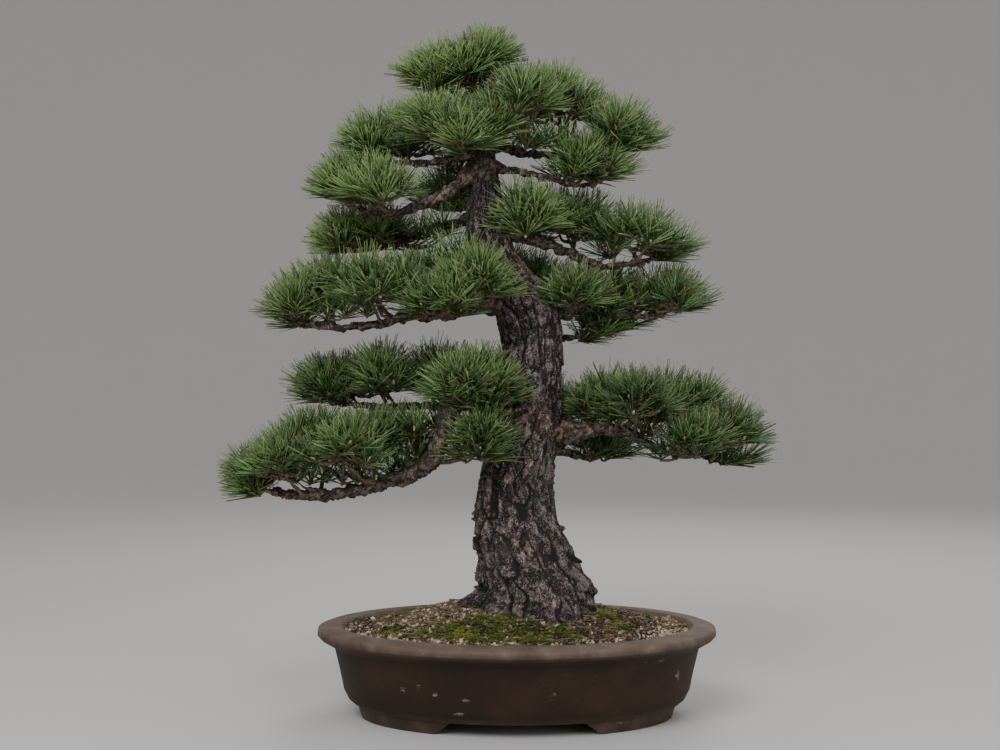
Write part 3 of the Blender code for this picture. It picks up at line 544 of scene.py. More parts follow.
def edit(piece):
    """Opens a piece in edit mode with everything in it selected."""
    bpy.context.view_layer.objects.active = piece
    bpy.ops.object.mode_set(mode="EDIT")
    bpy.ops.mesh.select_all(action="SELECT")


def done():
    bpy.ops.object.mode_set(mode="OBJECT")


def points_of(mesh):
    flat = np.empty(3 * len(mesh.vertices))
    mesh.vertices.foreach_get("co", flat)
    return flat.reshape(-1, 3)


def set_points(mesh, points):
    mesh.vertices.foreach_set("co", np.asarray(points, float).ravel())
    mesh.update()


def set_attribute(mesh, name, values):
    mesh.attributes.new(name, "FLOAT", "POINT").data.foreach_set("value", np.asarray(values, np.float32))


def finish_piece(piece, name, materials, slot, *nodes):
    """Names a piece, shades it smooth, and ties it to the frame."""
    piece.name = piece.data.name = name
    if materials:
        piece.data.materials.clear()
        for material in materials:
            piece.data.materials.append(material)
    piece.data.polygons.foreach_set("use_smooth", [True] * len(piece.data.polygons))
    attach(piece, "root")
    if nodes:
        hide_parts(*nodes)
    return piece


def take_pattern(piece):
    """The points and triangles of a modelled shape, which is then removed, for copies to be made from."""
    edit(piece)
    bpy.ops.mesh.normals_make_consistent(inside=False)
    bpy.ops.mesh.quads_convert_to_tris()
    done()
    pattern = points_of(piece.data), np.array([face.vertices[:] for face in piece.data.polygons])
    bpy.data.objects.remove(piece)
    return pattern


def copy_pattern(pattern, places, axes, curls=()):
    """Copies of a pattern: axes are what its x, y and z become, and curls bend it by z squared."""
    points, faces = pattern
    copies = np.einsum("vk,nkc->nvc", points, np.array(axes)) + np.array(places)[:, None]
    if len(curls):
        copies += (points[:, 2] ** 2)[None, :, None] * np.array(curls)[:, None]
    shift = np.arange(len(places))[:, None, None] * len(points)
    return copies.reshape(-1, 3), (faces[None] + shift).reshape(-1, 3)


def object_from(name, points, faces, materials, attributes=None):
    mesh = bpy.data.meshes.new(name)
    mesh.from_pydata(points.tolist(), [], faces.tolist())
    for material in materials:
        mesh.materials.append(material)
    for key, values in (attributes or {}).items():
        set_attribute(mesh, key, values)
    piece = bpy.data.objects.new(name, mesh)
    bpy.context.scene.collection.objects.link(piece)
    return piece


def heap(name, groups, material):
    """One mesh with the copies of several patterns, in groups of pattern, places, axes and tints."""
    points, faces, values, shift = [], [], [], 0
    for pattern, places, axes, tints in groups:
        new_points, new_faces = copy_pattern(pattern, places, axes)
        points.append(new_points)
        faces.append(new_faces + shift)
        values.append(np.repeat(tints, len(pattern[0])))
        shift += len(new_points)
    tint = np.clip(np.concatenate(values), 0, 1)
    return object_from(name, np.vstack(points), np.vstack(faces), [material], {"tint": tint})


def rods(name, routes, roundness):
    """Tapered round rods along routes of (points, radii), as one mesh with welded caps."""
    curve = bpy.data.curves.new(name, "CURVE")
    curve.dimensions = "3D"
    curve.bevel_depth = 1
    curve.bevel_resolution = roundness
    curve.use_fill_caps = True
    for points, radii in routes:
        spline = curve.splines.new("POLY")
        spline.points.add(len(points) - 1)
        for knot, point, radius in zip(spline.points, points, radii):
            knot.co = (*point, 1)
            knot.radius = radius
    piece = bpy.data.objects.new(name, curve)
    bpy.context.scene.collection.objects.link(piece)
    bpy.ops.object.select_all(action="DESELECT")
    piece.select_set(True)
    bpy.context.view_layer.objects.active = piece
    bpy.ops.object.convert(target="MESH")
    piece = bpy.context.object
    edit(piece)
    bpy.ops.mesh.remove_doubles(threshold=0.01 * MM)
    bpy.ops.mesh.normals_make_consistent(inside=False)
    done()
    return piece


def make_stoneware():
    """Unglazed brown stoneware, matt and warm: paler and greyer where hands and weather have rubbed the
    rim and the feet, with a painted highlight on the rim's top and crest as lit from above, and chalky
    scuffs and flecks of lime on its front."""
    material, tree, shader = new_material("unglazed_stoneware")
    place = node(tree, "TexCoord", out="Object")
    height = node(tree, "SeparateXYZ", {0: place}, out="Z")
    # Clouds in the clay are about 90 mm wide, the lines from throwing 5 mm apart and mottles 30 mm.
    clouds = node(tree, "TexNoise", {"Vector": place, "Scale": 11, "Detail": 7, "Roughness": 0.62})
    body = node(tree, "ValToRGB", {0: clouds}, [(0.3, "#231710"), (0.5, "#302015"), (0.72, "#402d1f")])
    combed = node(tree, "Mapping", {"Vector": place, "Scale": (18, 18, 190)})
    throwing = node(tree, "TexNoise", {"Vector": combed, "Scale": 1, "Detail": 5, "Roughness": 0.6})
    mottle = node(tree, "TexNoise", {"Vector": place, "Scale": 32, "Detail": 9, "Roughness": 0.6})
    pale_wear_and_highlight = node(tree, "ValToRGB", {0: mottle}, [(0.3, "#4c3d34"), (0.5, "#66564b"), (0.72, "#8a796d")])
    # Painted highlight: the crest and the rim are painted paler, as lit from above, on top of their wear;
    # the feet are paler with wear alone.
    crest, rim, foot = [
        node(tree, "MapRange", {0: height, 1: start * MM, 2: full * MM, 4: share})
        for start, full, share in POT_WEAR_AND_HIGHLIGHT]
    pale_wear_and_highlight = node(tree, "Mix", {0: crest, 6: pale_wear_and_highlight, 7: linear("#806c5e")}, out=2, data_type="RGBA")
    mixed = node(tree, "Mix", {0: rim, 6: body, 7: pale_wear_and_highlight}, out=2, data_type="RGBA")
    mixed = node(tree, "Mix", {0: foot, 6: mixed, 7: pale_wear_and_highlight}, out=2, data_type="RGBA")

    # Flecks of lime of about 3 mm, and slanted strokes where the pot was rubbed.
    chalk = node(tree, "TexNoise", {"Vector": place, "Scale": 330, "Detail": 6, "Roughness": 0.8})
    chalky = node(tree, "Math", {0: rim, 1: 0.04, 2: chalk}, operation="MULTIPLY_ADD")
    marks = node(tree, "MapRange", {0: chalky, 1: 0.64, 2: 0.7, 4: 0.55})
    leaned = node(tree, "Mapping", {"Vector": place, "Rotation": SCUFF_LEAN, "Scale": (70, 90, 330)})
    strokes = node(tree, "TexNoise", {
        "Vector": leaned, "Scale": 1, "Detail": 6, "Roughness": 0.7, "Distortion": 0.8})
    for centre, half_size, strength in SCUFFS:
        shift = node(tree, "VectorMath", {0: place, 1: Vector(centre) * MM}, operation="SUBTRACT")
        sizes = [1 / (half * MM) for half in half_size]
        sized = node(tree, "VectorMath", {0: shift, 1: sizes}, operation="MULTIPLY")
        apart = node(tree, "VectorMath", {0: sized}, out="Value", operation="LENGTH")
        inside = node(tree, "MapRange", {0: apart, 1: 1.0, 2: 0.35, 4: 0.3})
        rubbed = node(tree, "Math", {0: strokes, 1: inside}, operation="ADD")
        scuff = node(tree, "MapRange", {0: rubbed, 1: 0.8, 2: 0.88, 4: strength})
        marks = node(tree, "Math", {0: marks, 1: scuff}, operation="MAXIMUM")
    limed = node(tree, "Mix", {0: marks, 6: mixed, 7: linear("#a1958b")}, out=2, data_type="RGBA")

    # The clay's grain is 1 mm.
    grain = node(tree, "TexNoise", {"Vector": place, "Scale": 900, "Detail": 3})
    fine = node(tree, "Bump", {"Height": grain, "Strength": 0.25, "Distance": 0.3 * MM})
    ribs = node(tree, "Bump", {"Height": throwing, "Strength": 0.35, "Distance": 0.9 * MM, "Normal": fine})
    bump = node(tree, "Bump", {"Height": mottle, "Strength": 0.35, "Distance": 1.2 * MM, "Normal": ribs})
    rough = node(tree, "MapRange", {0: clouds, 3: 0.55, 4: 0.8})
    set_inputs(tree, shader, {
        "Base Color": limed, "Roughness": rough, "Normal": bump, "Specular IOR Level": 0.3})
    return material


def make_bark(name):
    """Flaking pine bark: cracks painted near black as shade, layers of purplish brown flakes whose lifted
    edges carry a painted highlight with painted shade beside them, warmer and greyer by zones, pale grey
    lichen in patches, and painted darker in the crown as the foliage's shade."""
    colours, flake_size, lichen_share, crown_shade_share = BARKS[name]
    material, tree, shader = new_material(name)
    place = node(tree, "TexCoord", out="Object")
    # The flakes' edges wander, in swirls of 8 mm.
    swirl = node(tree, "TexNoise", {"Vector": place, "Scale": 130, "Detail": 3}, out="Color")
    centred = node(tree, "VectorMath", {0: swirl, 1: (0.5, 0.5, 0.5)}, operation="SUBTRACT")
    warped = node(tree, "VectorMath", {
        0: centred, 1: [FLAKE_WANDER] * 3, 2: place}, operation="MULTIPLY_ADD")
    drawn = node(tree, "Mapping", {"Vector": warped, "Scale": (1, 1, 0.7)})
    flakes = node(tree, "TexVoronoi", {"Vector": drawn, "Scale": 1 / flake_size}, out="Color")
    sheets = node(tree, "TexNoise", {
        "Vector": drawn, "Scale": 0.42 / flake_size, "Detail": 4, "Roughness": 0.6})
    grain = node(tree, "TexNoise", {"Vector": place, "Scale": 700, "Detail": 5, "Roughness": 0.7})
    relief = node(tree, "Attribute", out="Fac", attribute_name="relief")
    flake = node(tree, "Attribute", out="Fac", attribute_name="flake")

    # Each whole number of the stack is one sheet of bark: its lifted edge gets a painted highlight, with
    # painted shade at the step beside it.
    stack = node(tree, "Math", {0: sheets, 1: SHEETS_OF_BARK, 2: flakes}, operation="MULTIPLY_ADD")
    share = node(tree, "Math", {0: stack}, operation="FRACT")
    sheet = node(tree, "Math", {0: stack}, operation="FLOOR")
    edge_light_and_tone = node(tree, "ValToRGB", {0: share}, [
        (0.0, "#000000"), (0.08, "#fcfcfc"), (0.26, "#8a8a8a"), (0.9, "#767676"), (1.0, "#101010")])
    for pattern, weight in ((flake, 0.25), (grain, 0.5), (flakes, 0.45)):
        edge_light_and_tone = node(tree, "Math", {0: pattern, 1: weight, 2: edge_light_and_tone}, operation="MULTIPLY_ADD")
    edge_light_and_tone = node(tree, "Math", {0: edge_light_and_tone, 1: 0.5}, operation="MULTIPLY")
    faces = node(tree, "ValToRGB", {0: edge_light_and_tone}, list(zip((0.29, 0.38, 0.49, 0.64), colours)))
    # Zones of warmer and greyer bark are about 60 mm wide.
    zones = node(tree, "TexNoise", {"Vector": place, "Scale": 16, "Detail": 4, "Roughness": 0.6})
    warmth = node(tree, "ValToRGB", {0: zones}, [(0.36, "#b8b0b3"), (0.5, "#bcb3b0"), (0.66, "#c6b2a3")])
    zoned = node(tree, "Mix", {
        0: 1, 6: faces, 7: warmth}, out=2, data_type="RGBA", blend_type="MULTIPLY")
    # Painted shade: bark in the crown is painted darker, as shade under the foliage.
    height = node(tree, "SeparateXYZ", {0: place}, out="Z")
    crown_shade = node(tree, "MapRange", {0: height, 1: CROWN_SHADE_FROM_Z[0], 2: CROWN_SHADE_FROM_Z[1], 4: crown_shade_share})
    zoned = node(tree, "Mix", {0: crown_shade, 6: zoned, 7: linear("#1b1614")}, out=2, data_type="RGBA")
    # Painted shade: the cracks are painted near black.
    open_share = node(tree, "MapRange", {0: relief, 1: 0.2, 2: 0.8})
    crack_shaded = node(tree, "Mix", {0: open_share, 6: linear("#120d0b"), 7: zoned}, out=2, data_type="RGBA")
    # Patches of lichen are about 30 mm wide.
    patches = node(tree, "TexNoise", {"Vector": place, "Scale": 34, "Detail": 8, "Roughness": 0.72})
    crust = node(tree, "MapRange", {0: patches, 1: 0.55, 2: 0.7, 4: lichen_share})
    crust = node(tree, "Math", {0: crust, 1: open_share}, operation="MULTIPLY")
    crusted = node(tree, "Mix", {0: crust, 6: crack_shaded, 7: linear("#99958f")}, out=2, data_type="RGBA")

    lip = node(tree, "MapRange", {0: share, 1: 0.0, 2: 0.16})
    layered = node(tree, "Math", {0: sheet, 1: lip}, operation="ADD")
    flaky = node(tree, "Bump", {"Height": layered, "Strength": 1.0, "Distance": 0.7 * MM})
    bump = node(tree, "Bump", {"Height": grain, "Strength": 0.8, "Distance": 0.6 * MM, "Normal": flaky})
    set_inputs(tree, shader, {"Base Color": crusted, "Normal": bump, "Roughness": 0.88})
    return material


def make_needle_green():
    """Pine needles: a waxy dark green that runs from bluish in shade to yellowish in sun, pale at the
    sheath that holds each pair, with a fine yellow tip."""
    material, tree, shader = new_material("waxy_needles")
    tint = node(tree, "Attribute", out="Fac", attribute_name="tint")
    reach = node(tree, "Attribute", out="Fac", attribute_name="reach")
    greens = node(tree, "ValToRGB", {0: tint}, [
        (0.0, "#6b5a38"), (0.1, "#2c3a24"), (0.35, "#264522"), (0.65, "#3d6530"), (1.0, "#82a25c")])
    ends = node(tree, "ValToRGB", {0: reach}, [
        (0.0, "#ffffff"), (0.12, "#000000"), (0.74, "#000000"), (0.94, "#6c6c6c"), (1.0, "#a8a8a8")])
    coloured = node(tree, "Mix", {0: ends, 6: greens, 7: linear("#a89a70")}, out=2, data_type="RGBA")
    set_inputs(tree, shader, {"Base Color": coloured, "Roughness": 0.42, "Specular IOR Level": 0.5})
    return material


def make_bud_scales():
    """Winter buds: silvery white, papery scales of about 1 mm."""
    material, tree, shader = new_material("papery_bud_scales")
    place = node(tree, "TexCoord", out="Object")
    scales = node(tree, "TexVoronoi", {"Vector": place, "Scale": 900}, out="Distance")
    colour = node(tree, "ValToRGB", {0: scales}, [(0.1, "#e0d8c6"), (0.7, "#a08a6c")])
    set_inputs(tree, shader, {"Base Color": colour, "Roughness": 0.7})
    return material


def make_soil_dust():
    """Fine moist clay dust between the grains, in crumbs of 2 to 3 mm."""
    material, tree, shader = new_material("moist_clay_dust")
    place = node(tree, "TexCoord", out="Object")
    crumbs = node(tree, "TexVoronoi", {"Vector": place, "Scale": 420}, out="Distance")
    # Painted shade: each crumb is painted darker towards its edges, as shade in the gaps between crumbs.
    colour = node(tree, "ValToRGB", {0: crumbs}, [(0.1, "#4a3a2c"), (0.5, "#2c2119"), (0.9, "#120d0a")])
    bump = node(tree, "Bump", {"Height": crumbs, "Strength": 1, "Distance": 1.5 * MM}, invert=True)
    set_inputs(tree, shader, {"Base Color": colour, "Normal": bump, "Roughness": 0.95})
    return material


def make_fired_clay():
    """Fired clay and pumice grains: dull, with pores under 1 mm, from purplish brown to off-white."""
    material, tree, shader = new_material("clay_and_pumice_grit")
    place = node(tree, "TexCoord", out="Object")
    tint = node(tree, "Attribute", out="Fac", attribute_name="tint")
    colour = node(tree, "ValToRGB", {0: tint}, [
        (0.0, "#4a3f44"), (0.05, "#332825"), (0.2, "#543c30"), (0.45, "#6f5b47"), (0.75, "#9c896f"),
        (1.0, "#d6cab6")])
    pores = node(tree, "TexNoise", {"Vector": place, "Scale": 1300, "Detail": 4})
    bump = node(tree, "Bump", {"Height": pores, "Strength": 0.5, "Distance": 0.5 * MM})
    set_inputs(tree, shader, {"Base Color": colour, "Normal": bump, "Roughness": 0.93})
    return material


def make_moss_green():
    """Cushion moss: bright yellow-green shoots over an olive base."""
    material, tree, shader = new_material("cushion_moss")
    tint = node(tree, "Attribute", out="Fac", attribute_name="tint")
    colour = node(tree, "ValToRGB", {0: tint}, [
        (0.0, "#1f2409"), (0.4, "#3f4a12"), (0.75, "#6a7420"), (1.0, "#8d8f3c")])
    set_inputs(tree, shader, {"Base Color": colour, "Roughness": 0.8})
    return material


def make_mesh_plastic():
    """Black polyethylene drain mesh, moulded and dulled by dirt."""
    material, tree, shader = new_material("black_polyethylene")
    place = node(tree, "TexCoord", out="Object")
    wear = node(tree, "TexNoise", {"Vector": place, "Scale": 300})
    colour = node(tree, "ValToRGB", {0: wear}, [(0.3, "#0c0c0c"), (0.7, "#1c1b1a")])
    set_inputs(tree, shader, {"Base Color": colour, "Roughness": 0.5})
    return material


def apply_modifiers(piece):
    bpy.context.view_layer.objects.active = piece
    for modifier in list(piece.modifiers):
        bpy.ops.object.modifier_apply(modifier=modifier.name)


def cut(piece, cutter):
    modifier = piece.modifiers.new("cut", "BOOLEAN")
    modifier.object = cutter
    apply_modifiers(piece)
    bpy.data.objects.remove(cutter)


def add_foot_gap(half_widths, along_x):
    """A bar with slanted sides that parts two feet, a little lower, higher and wider than the gap."""
    bpy.ops.mesh.primitive_cube_add(size=2, location=(POT_X, 0, 0))
    bar = bpy.context.object
    corners = points_of(bar.data)
    low = corners[:, 2] < 0
    wide = corners[:, 0] * np.where(low, half_widths[0] * 1.02, half_widths[1])
    length = corners[:, 1] * 1.5 * RIM_HALF_LENGTH
    height = np.where(low, -FOOT_GAP_EXTRA, UNDERSIDE_Z + FOOT_GAP_EXTRA)
    set_points(bar.data, np.column_stack((length, wide, height) if along_x else (wide, length, height)))
    edit(bar)
    bpy.ops.mesh.normals_make_consistent(inside=False)
    done()
    return bar


def make_pot(material):
    """The pot, drawn up ring by ring from its underside and closed at its floor."""
    bpy.ops.object.select_all(action="DESELECT")
    bpy.ops.mesh.primitive_circle_add(vertices=POT_SIDES, radius=1, fill_type="NOTHING")
    pot = bpy.context.object
    edit(pot)
    middle = (0, 0, 0)
    inset, height = POT_PROFILE[0]
    half_x, half_y = RIM_HALF_LENGTH - inset * MM, RIM_HALF_DEPTH - inset * MM
    bpy.ops.transform.resize(value=(half_x, half_y, 1), center_override=middle)
    bpy.ops.transform.translate(value=(0, 0, height * MM))
    bpy.ops.mesh.edge_face_add()
    for (last_inset, last_height), (inset, height) in zip(POT_PROFILE, POT_PROFILE[1:]):
        rise = (height - last_height) * MM
        grow_x = (RIM_HALF_LENGTH - inset * MM) / (RIM_HALF_LENGTH - last_inset * MM)
        grow_y = (RIM_HALF_DEPTH - inset * MM) / (RIM_HALF_DEPTH - last_inset * MM)
        bpy.ops.mesh.extrude_region_move(TRANSFORM_OT_translate={"value": (0, 0, rise)})
        bpy.ops.transform.resize(value=(grow_x, grow_y, 1), center_override=middle)
    bpy.ops.mesh.select_all(action="SELECT")
    bpy.ops.mesh.normals_make_consistent(inside=False)
    bpy.ops.transform.translate(value=(POT_X, 0, 0))
    done()
    cut(pot, add_foot_gap(FOOT_GAP_FRONT, False))
    cut(pot, add_foot_gap(FOOT_GAP_END, True))
    for side in (-1, 1):
        middle = (POT_X + side * DRAIN_X, 0, FLOOR_Z)
        bpy.ops.mesh.primitive_cylinder_add(
            vertices=48, radius=DRAIN_RADIUS, depth=2 * FLOOR_Z, location=middle)
        cut(pot, bpy.context.object)
    bevel = pot.modifiers.new("softened_edges", "BEVEL")
    bevel.width = POT_EDGE_RADIUS
    bevel.segments = 3
    bevel.limit_method = "ANGLE"
    bevel.angle_limit = math.radians(24)
    apply_modifiers(pot)
    return finish_piece(pot, "pot_body", [material], "clay", "pot")


def degrees_from(bearing, angle):
    """How many degrees an angle in radians is turned from a bearing in degrees."""
    return (math.degrees(angle) - bearing + 180) % 360 - 180


def root_flare(angle, z):
    """How far the surface roots carry the trunk's foot outwards."""
    fade = 1 - smoothstep(0, 1, (z - ROOT_TOP_Z) / ROOT_FADE)
    total = 0
    for bearing, reach, width in ROOTS:
        total += reach * MM * math.exp(-((degrees_from(bearing, angle) / width) ** 2))
    return total * fade**2


def knob_height(angle, z):
    """How far the knobs of dead bark stand out: flat on top, with steep sides."""
    total = 0
    for bearing, middle_z, size, reach in KNOBS:
        around = math.radians(degrees_from(bearing, angle)) * KNOBBED_RADIUS
        apart = math.hypot(around, z - middle_z * MM) / (size * MM)
        total += reach * MM * math.exp(-(apart**6))
    return total


def bark_at(place):
    """Height of the bark in metres, its relief from 0 in a crack to 1 on a plate, and a random share
    for its flake. The place is in plate widths and heights."""
    # The plates' edges are ragged in two sizes, and each flake's in one.
    ragged = place + noise.noise_vector(place * 2.1) * RAGGED + noise.noise_vector(place * 8) * RAGGED / 4
    near, middles = noise.voronoi(ragged)
    width = CRACK_WIDTH[0] + (CRACK_WIDTH[1] - CRACK_WIDTH[0]) * (0.5 + noise.noise(place * 1.3))
    across = middles[1] - middles[0]
    border = (near[1] ** 2 - near[0] ** 2) / (2 * across.length)
    plate = smoothstep(0, max(CRACK_WIDTH[0], width), border)
    plate += (1 - plate) * LEVEL_CLOSED * smoothstep(*LEVEL_CRACKS, abs(across.normalized().z))
    lift = max(-1, min(1, (middles[0].z - ragged.z) * 2))
    flaked = ragged * FLAKES_PER_PLATE + noise.noise_vector(place * 11) * FLAKE_RAGGED
    flake = noise.cell(noise.voronoi(flaked)[1][0])
    height = CRACK_DEPTH * (plate - 1)
    height += plate * (PLATE_STEP * (noise.cell(middles[0]) - 0.5) + PLATE_LIFT * lift * 0.5)
    height += (0.35 + 0.65 * plate) * FLAKE_STEP * (flake - 0.5)
    return height, plate, flake


def twist_at(z):
    """How far the bark's pattern has turned round the trunk at a height."""
    share = min(1, z / PLATE_TWIST_TOP_Z)
    return PLATE_TWIST * PLATE_TWIST_TOP_Z * (share - 0.5 * share**2)


def make_trunk(material):
    """The trunk: a grid rolled round its axis, with the bark's relief raised from it."""
    bpy.ops.object.select_all(action="DESELECT")
    bpy.ops.mesh.primitive_grid_add(x_subdivisions=TRUNK_SIDES, y_subdivisions=TRUNK_RINGS - 1, size=2)
    trunk = bpy.context.object
    grid = (points_of(trunk.data)[:, :2] + 1) / 2
    reliefs, flakes = np.empty(len(grid)), np.empty(len(grid))
    points = np.empty((len(grid), 3))
    axis = {}
    for i, (u, v) in enumerate(grid):
        ring = round(v * (TRUNK_RINGS - 1))
        if ring not in axis:
            axis[ring] = along(TRUNK, TRUNK_FROM + (1 - TRUNK_FROM) * ring / (TRUNK_RINGS - 1)) * MM
        x, y, z, radius = axis[ring]
        angle = 2 * math.pi * (round(u * TRUNK_SIDES) % TRUNK_SIDES) / TRUNK_SIDES
        turned = angle + twist_at(z)
        place = facing(turned) * PLATE_GIRTH / PLATE_WIDTH
        place += UP * z / PLATE_HEIGHT
        height, reliefs[i], flakes[i] = bark_at(place)
        height *= min(1, radius / FULL_BARK_RADIUS) * smoothstep(*BARK_FROM_Z, z)
        reach = radius + root_flare(angle, z) + knob_height(angle, z) * (0.4 + flakes[i]) + height
        points[i] = (x + reach * math.cos(angle), y + reach * math.sin(angle), z)
    set_points(trunk.data, points)
    set_attribute(trunk.data, "relief", reliefs)
    set_attribute(trunk.data, "flake", flakes)
    edit(trunk)
    bpy.ops.mesh.remove_doubles(threshold=0.01 * MM)
    bpy.ops.mesh.fill_holes(sides=0)
    bpy.ops.mesh.normals_make_consistent(inside=False)
    done()
    return finish_piece(trunk, "trunk_bark", [material], "bark", "trunk_and_limbs")


def limb_at(limb, t):
    """The middle of the limb a share t of the way along it, and its radius there."""
    thick, thin, route = LIMBS[limb]
    return Vector(along(route, t) * MM), (thick + (thin - thick) * t**LIMB_TAPER) * MM


def trunk_at(z):
    """The trunk's middle and radius at a height."""
    rows = np.array(TRUNK) * MM
    return [np.interp(z, rows[:, 2], rows[:, column]) for column in (0, 1, 3)]


def spray_hub(name):
    """Where a spray's twigs part, below its buds."""
    limb, t, middle, _ = SPRAYS[name]
    start, radius = limb_at(limb, t)
    toward = Vector(middle) * MM - UP * HUB_BELOW_BUDS - start
    reach = max(radius + BRANCHLET_LEAST, BRANCHLET_SHARE * toward.length)
    return start + toward.normalized() * max(toward.length, reach + STEM_LEAST)


def shoots_of(name):
    """The foot and direction of each shoot of a spray, spread over a low dome above its hub."""
    limb, t, _, spread = SPRAYS[name]
    phase = sum(map(ord, name)) % 7
    centre = spray_hub(name) + UP * HUB_BELOW_BUDS
    outwards = centre - limb_at(limb, 0)[0]
    away = Vector((outwards.x, centre.y, 0)).normalized()
    outwards = away * (LIMB_LEAN[0] + LIMB_LEAN[1] * t**3)
    lift = UP * LIFTS.get(name, 0) * MM
    for k in range(SHOOTS_ON_SPRAY):
        share = SHOOTS_REACH * math.sqrt((k + 0.5) / SHOOTS_ON_SPRAY)
        side = facing(GOLDEN_ANGLE * k + phase) * share
        rise = BUD_DOME[0] + BUD_DOME[1] * share**2
        bud = centre + Vector((side.x * spread[0], side.y * spread[1], rise * spread[2])) * MM
        step = stray()
        lean = side - away * min(0, side.dot(away)) * INNER_UPRIGHT
        way = (UP + BUD_LEAN * lean + outwards + step * SHOOT_TURN).normalized()
        yield bud + lift + step * SHOOT_STRAY * min(1, share) - way * SHOOT_BELOW_BUD, way
    for *place, lean in MORE_SHOOTS.get(name, []):
        way = UP * (1.1 - lean) + outwards.normalized() * lean + stray(MORE_SHOOTS_TURN)
        yield Vector(place) * MM, way.normalized()
    others = [spray_hub(other) for other in SPRAYS if SPRAYS[other][0] == limb and other != name]
    if others:
        aim = min(others, key=lambda hub: (hub - centre).length) + UP * HUB_BELOW_BUDS
        for k in range(SHOOTS_BETWEEN):
            step = stray()
            way = (UP + outwards + step * SHOOT_TURN).normalized()
            place = centre.lerp(aim, BETWEEN_FROM + BETWEEN_SPAN * k / SHOOTS_BETWEEN) + lift
            yield place + step * 1.5 * SHOOT_STRAY - way * (SHOOT_BELOW_BUD + BETWEEN_LOWER), way


def wander(point, size):
    """The point moved a little by a smooth random field, so that wood isn't straight."""
    return point + noise.noise_vector(point / (15 * MM)) * size


def kinked(point):
    """The point moved at random, as where a twig once forked."""
    return point + stray(TWIG_KINK)


def knotted(radius, point):
    """The radius of wood at a point, with knots where shoots once were."""
    knots = noise.noise(point / (9 * MM)) + 0.4 * noise.noise(point / (4 * MM))
    return radius * (1 + LIMB_KNOTS * knots)


def branch_route(name):
    """A spray's branch, as a curve that leaves the limb along it and bends up to the hub, and its
    radius at the limb."""
    limb, t, _, _ = SPRAYS[name]
    hub = spray_hub(name)
    start_at = max(0.0, t - BRANCH_BEFORE) if t < 1 else BRANCH_AT_TIP
    start, radius = limb_at(limb, start_at)
    ahead = (limb_at(limb, min(1, start_at + 0.05))[0] - start).normalized()
    span = (hub - start).length
    control = start + ahead * span * 0.5 + Vector((0, 0, -BRANCH_SAG * span))
    return lambda share: bend_through(start, control, hub, share), radius * LIMB_GROWTH * BRANCH_SHARE


def limb_routes():
    """The middle and radii of each limb, with a collar at the trunk, and of each spray's branch."""
    for limb, (_, _, route) in LIMBS.items():
        span = sum((Vector(b) - Vector(a)).length for a, b in zip(route, route[1:])) * MM
        count = round(span / LIMB_RING_SPACING)
        foot = limb_at(limb, 0)[0]
        trunk_radius = trunk_at(foot.z)[2]
        points, radii = [], []
        for k in range(count + 1):
            point, radius = limb_at(limb, k / count)
            bare = max(0, (point - foot).length - trunk_radius)
            collar = 1 + LIMB_COLLAR * math.exp(-bare / (1.3 * radius))
            radii.append(knotted(radius * LIMB_GROWTH * collar, point))
            points.append(wander(point, LIMB_WANDER * radius))
        yield points, radii
    for name in SPRAYS:
        route, radius = branch_route(name)
        count = max(5, round((route(1) - route(0)).length / BRANCH_RING_SPACING))
        points = [wander(route(k / count), BRANCH_WANDER) for k in range(count + 1)]
        thinned = [(k / count) ** BRANCH_TAPER for k in range(count + 1)]
        radii = [max(STEM_RADIUS, radius + (STEM_RADIUS - radius) * share) for share in thinned]
        yield points, [knotted(*pair) for pair in zip(radii, points)]


def make_limbs(material):
    """The limbs, and the branch from each to each of its sprays, knotted and flaky."""
    limbs = rods("limb_bark", limb_routes(), LIMB_ROUNDNESS)
    mesh = limbs.data
    points = points_of(mesh)
    normals = np.array([vertex.normal for vertex in mesh.vertices])
    reliefs, flakes = np.empty(len(points)), np.empty(len(points))
    for i, point in enumerate(points):
        place = Vector(point) / LIMB_FLAKE
        place += noise.noise_vector(place * 1.7) * FLAKE_RAGGED
        near, middles = noise.voronoi(place)
        flakes[i] = noise.cell(middles[0])
        reliefs[i] = smoothstep(0, LIMB_CRACK_WIDTH, near[1] - near[0])
        height = LIMB_CRACK_DEPTH * (reliefs[i] - 0.8) + LIMB_FLAKE_STEP * (flakes[i] - 0.5)
        points[i] += normals[i] * height
    set_points(mesh, points)
    set_attribute(mesh, "relief", 0.2 + 0.8 * reliefs)
    set_attribute(mesh, "flake", flakes)
    return finish_piece(limbs, "limb_bark", [material], "bark", "trunk_and_limbs")


def model_needle():
    """A stiff, straight, three-sided needle, 1 long and 1 in half-thickness, blunt at its tip."""
    bpy.ops.object.select_all(action="DESELECT")
    bpy.ops.mesh.primitive_circle_add(vertices=3, radius=1, fill_type="NGON")
    needle = bpy.context.object
    edit(needle)
    bpy.ops.mesh.extrude_region_move(TRANSFORM_OT_translate={"value": (0, 0, 1)})
    bpy.ops.transform.resize(value=(0.55, 0.55, 1))
    done()
    return take_pattern(needle)


def model_bud():
    """A plump, pointed bud, 1 long and 1 in radius, with its foot at the origin."""
    bpy.ops.object.select_all(action="DESELECT")
    bpy.ops.mesh.primitive_circle_add(vertices=5, radius=0.7, fill_type="NGON")
    bud = bpy.context.object
    edit(bud)
    for rise, grow in ((0.35, 1.4), (0.35, 0.7)):
        bpy.ops.mesh.extrude_region_move(TRANSFORM_OT_translate={"value": (0, 0, rise)})
        bpy.ops.transform.resize(value=(grow, grow, 1))
    bpy.ops.mesh.extrude_region_move(TRANSFORM_OT_translate={"value": (0, 0, 0.3)})
    bpy.ops.mesh.merge(type="CENTER")
    done()
    return take_pattern(bud)


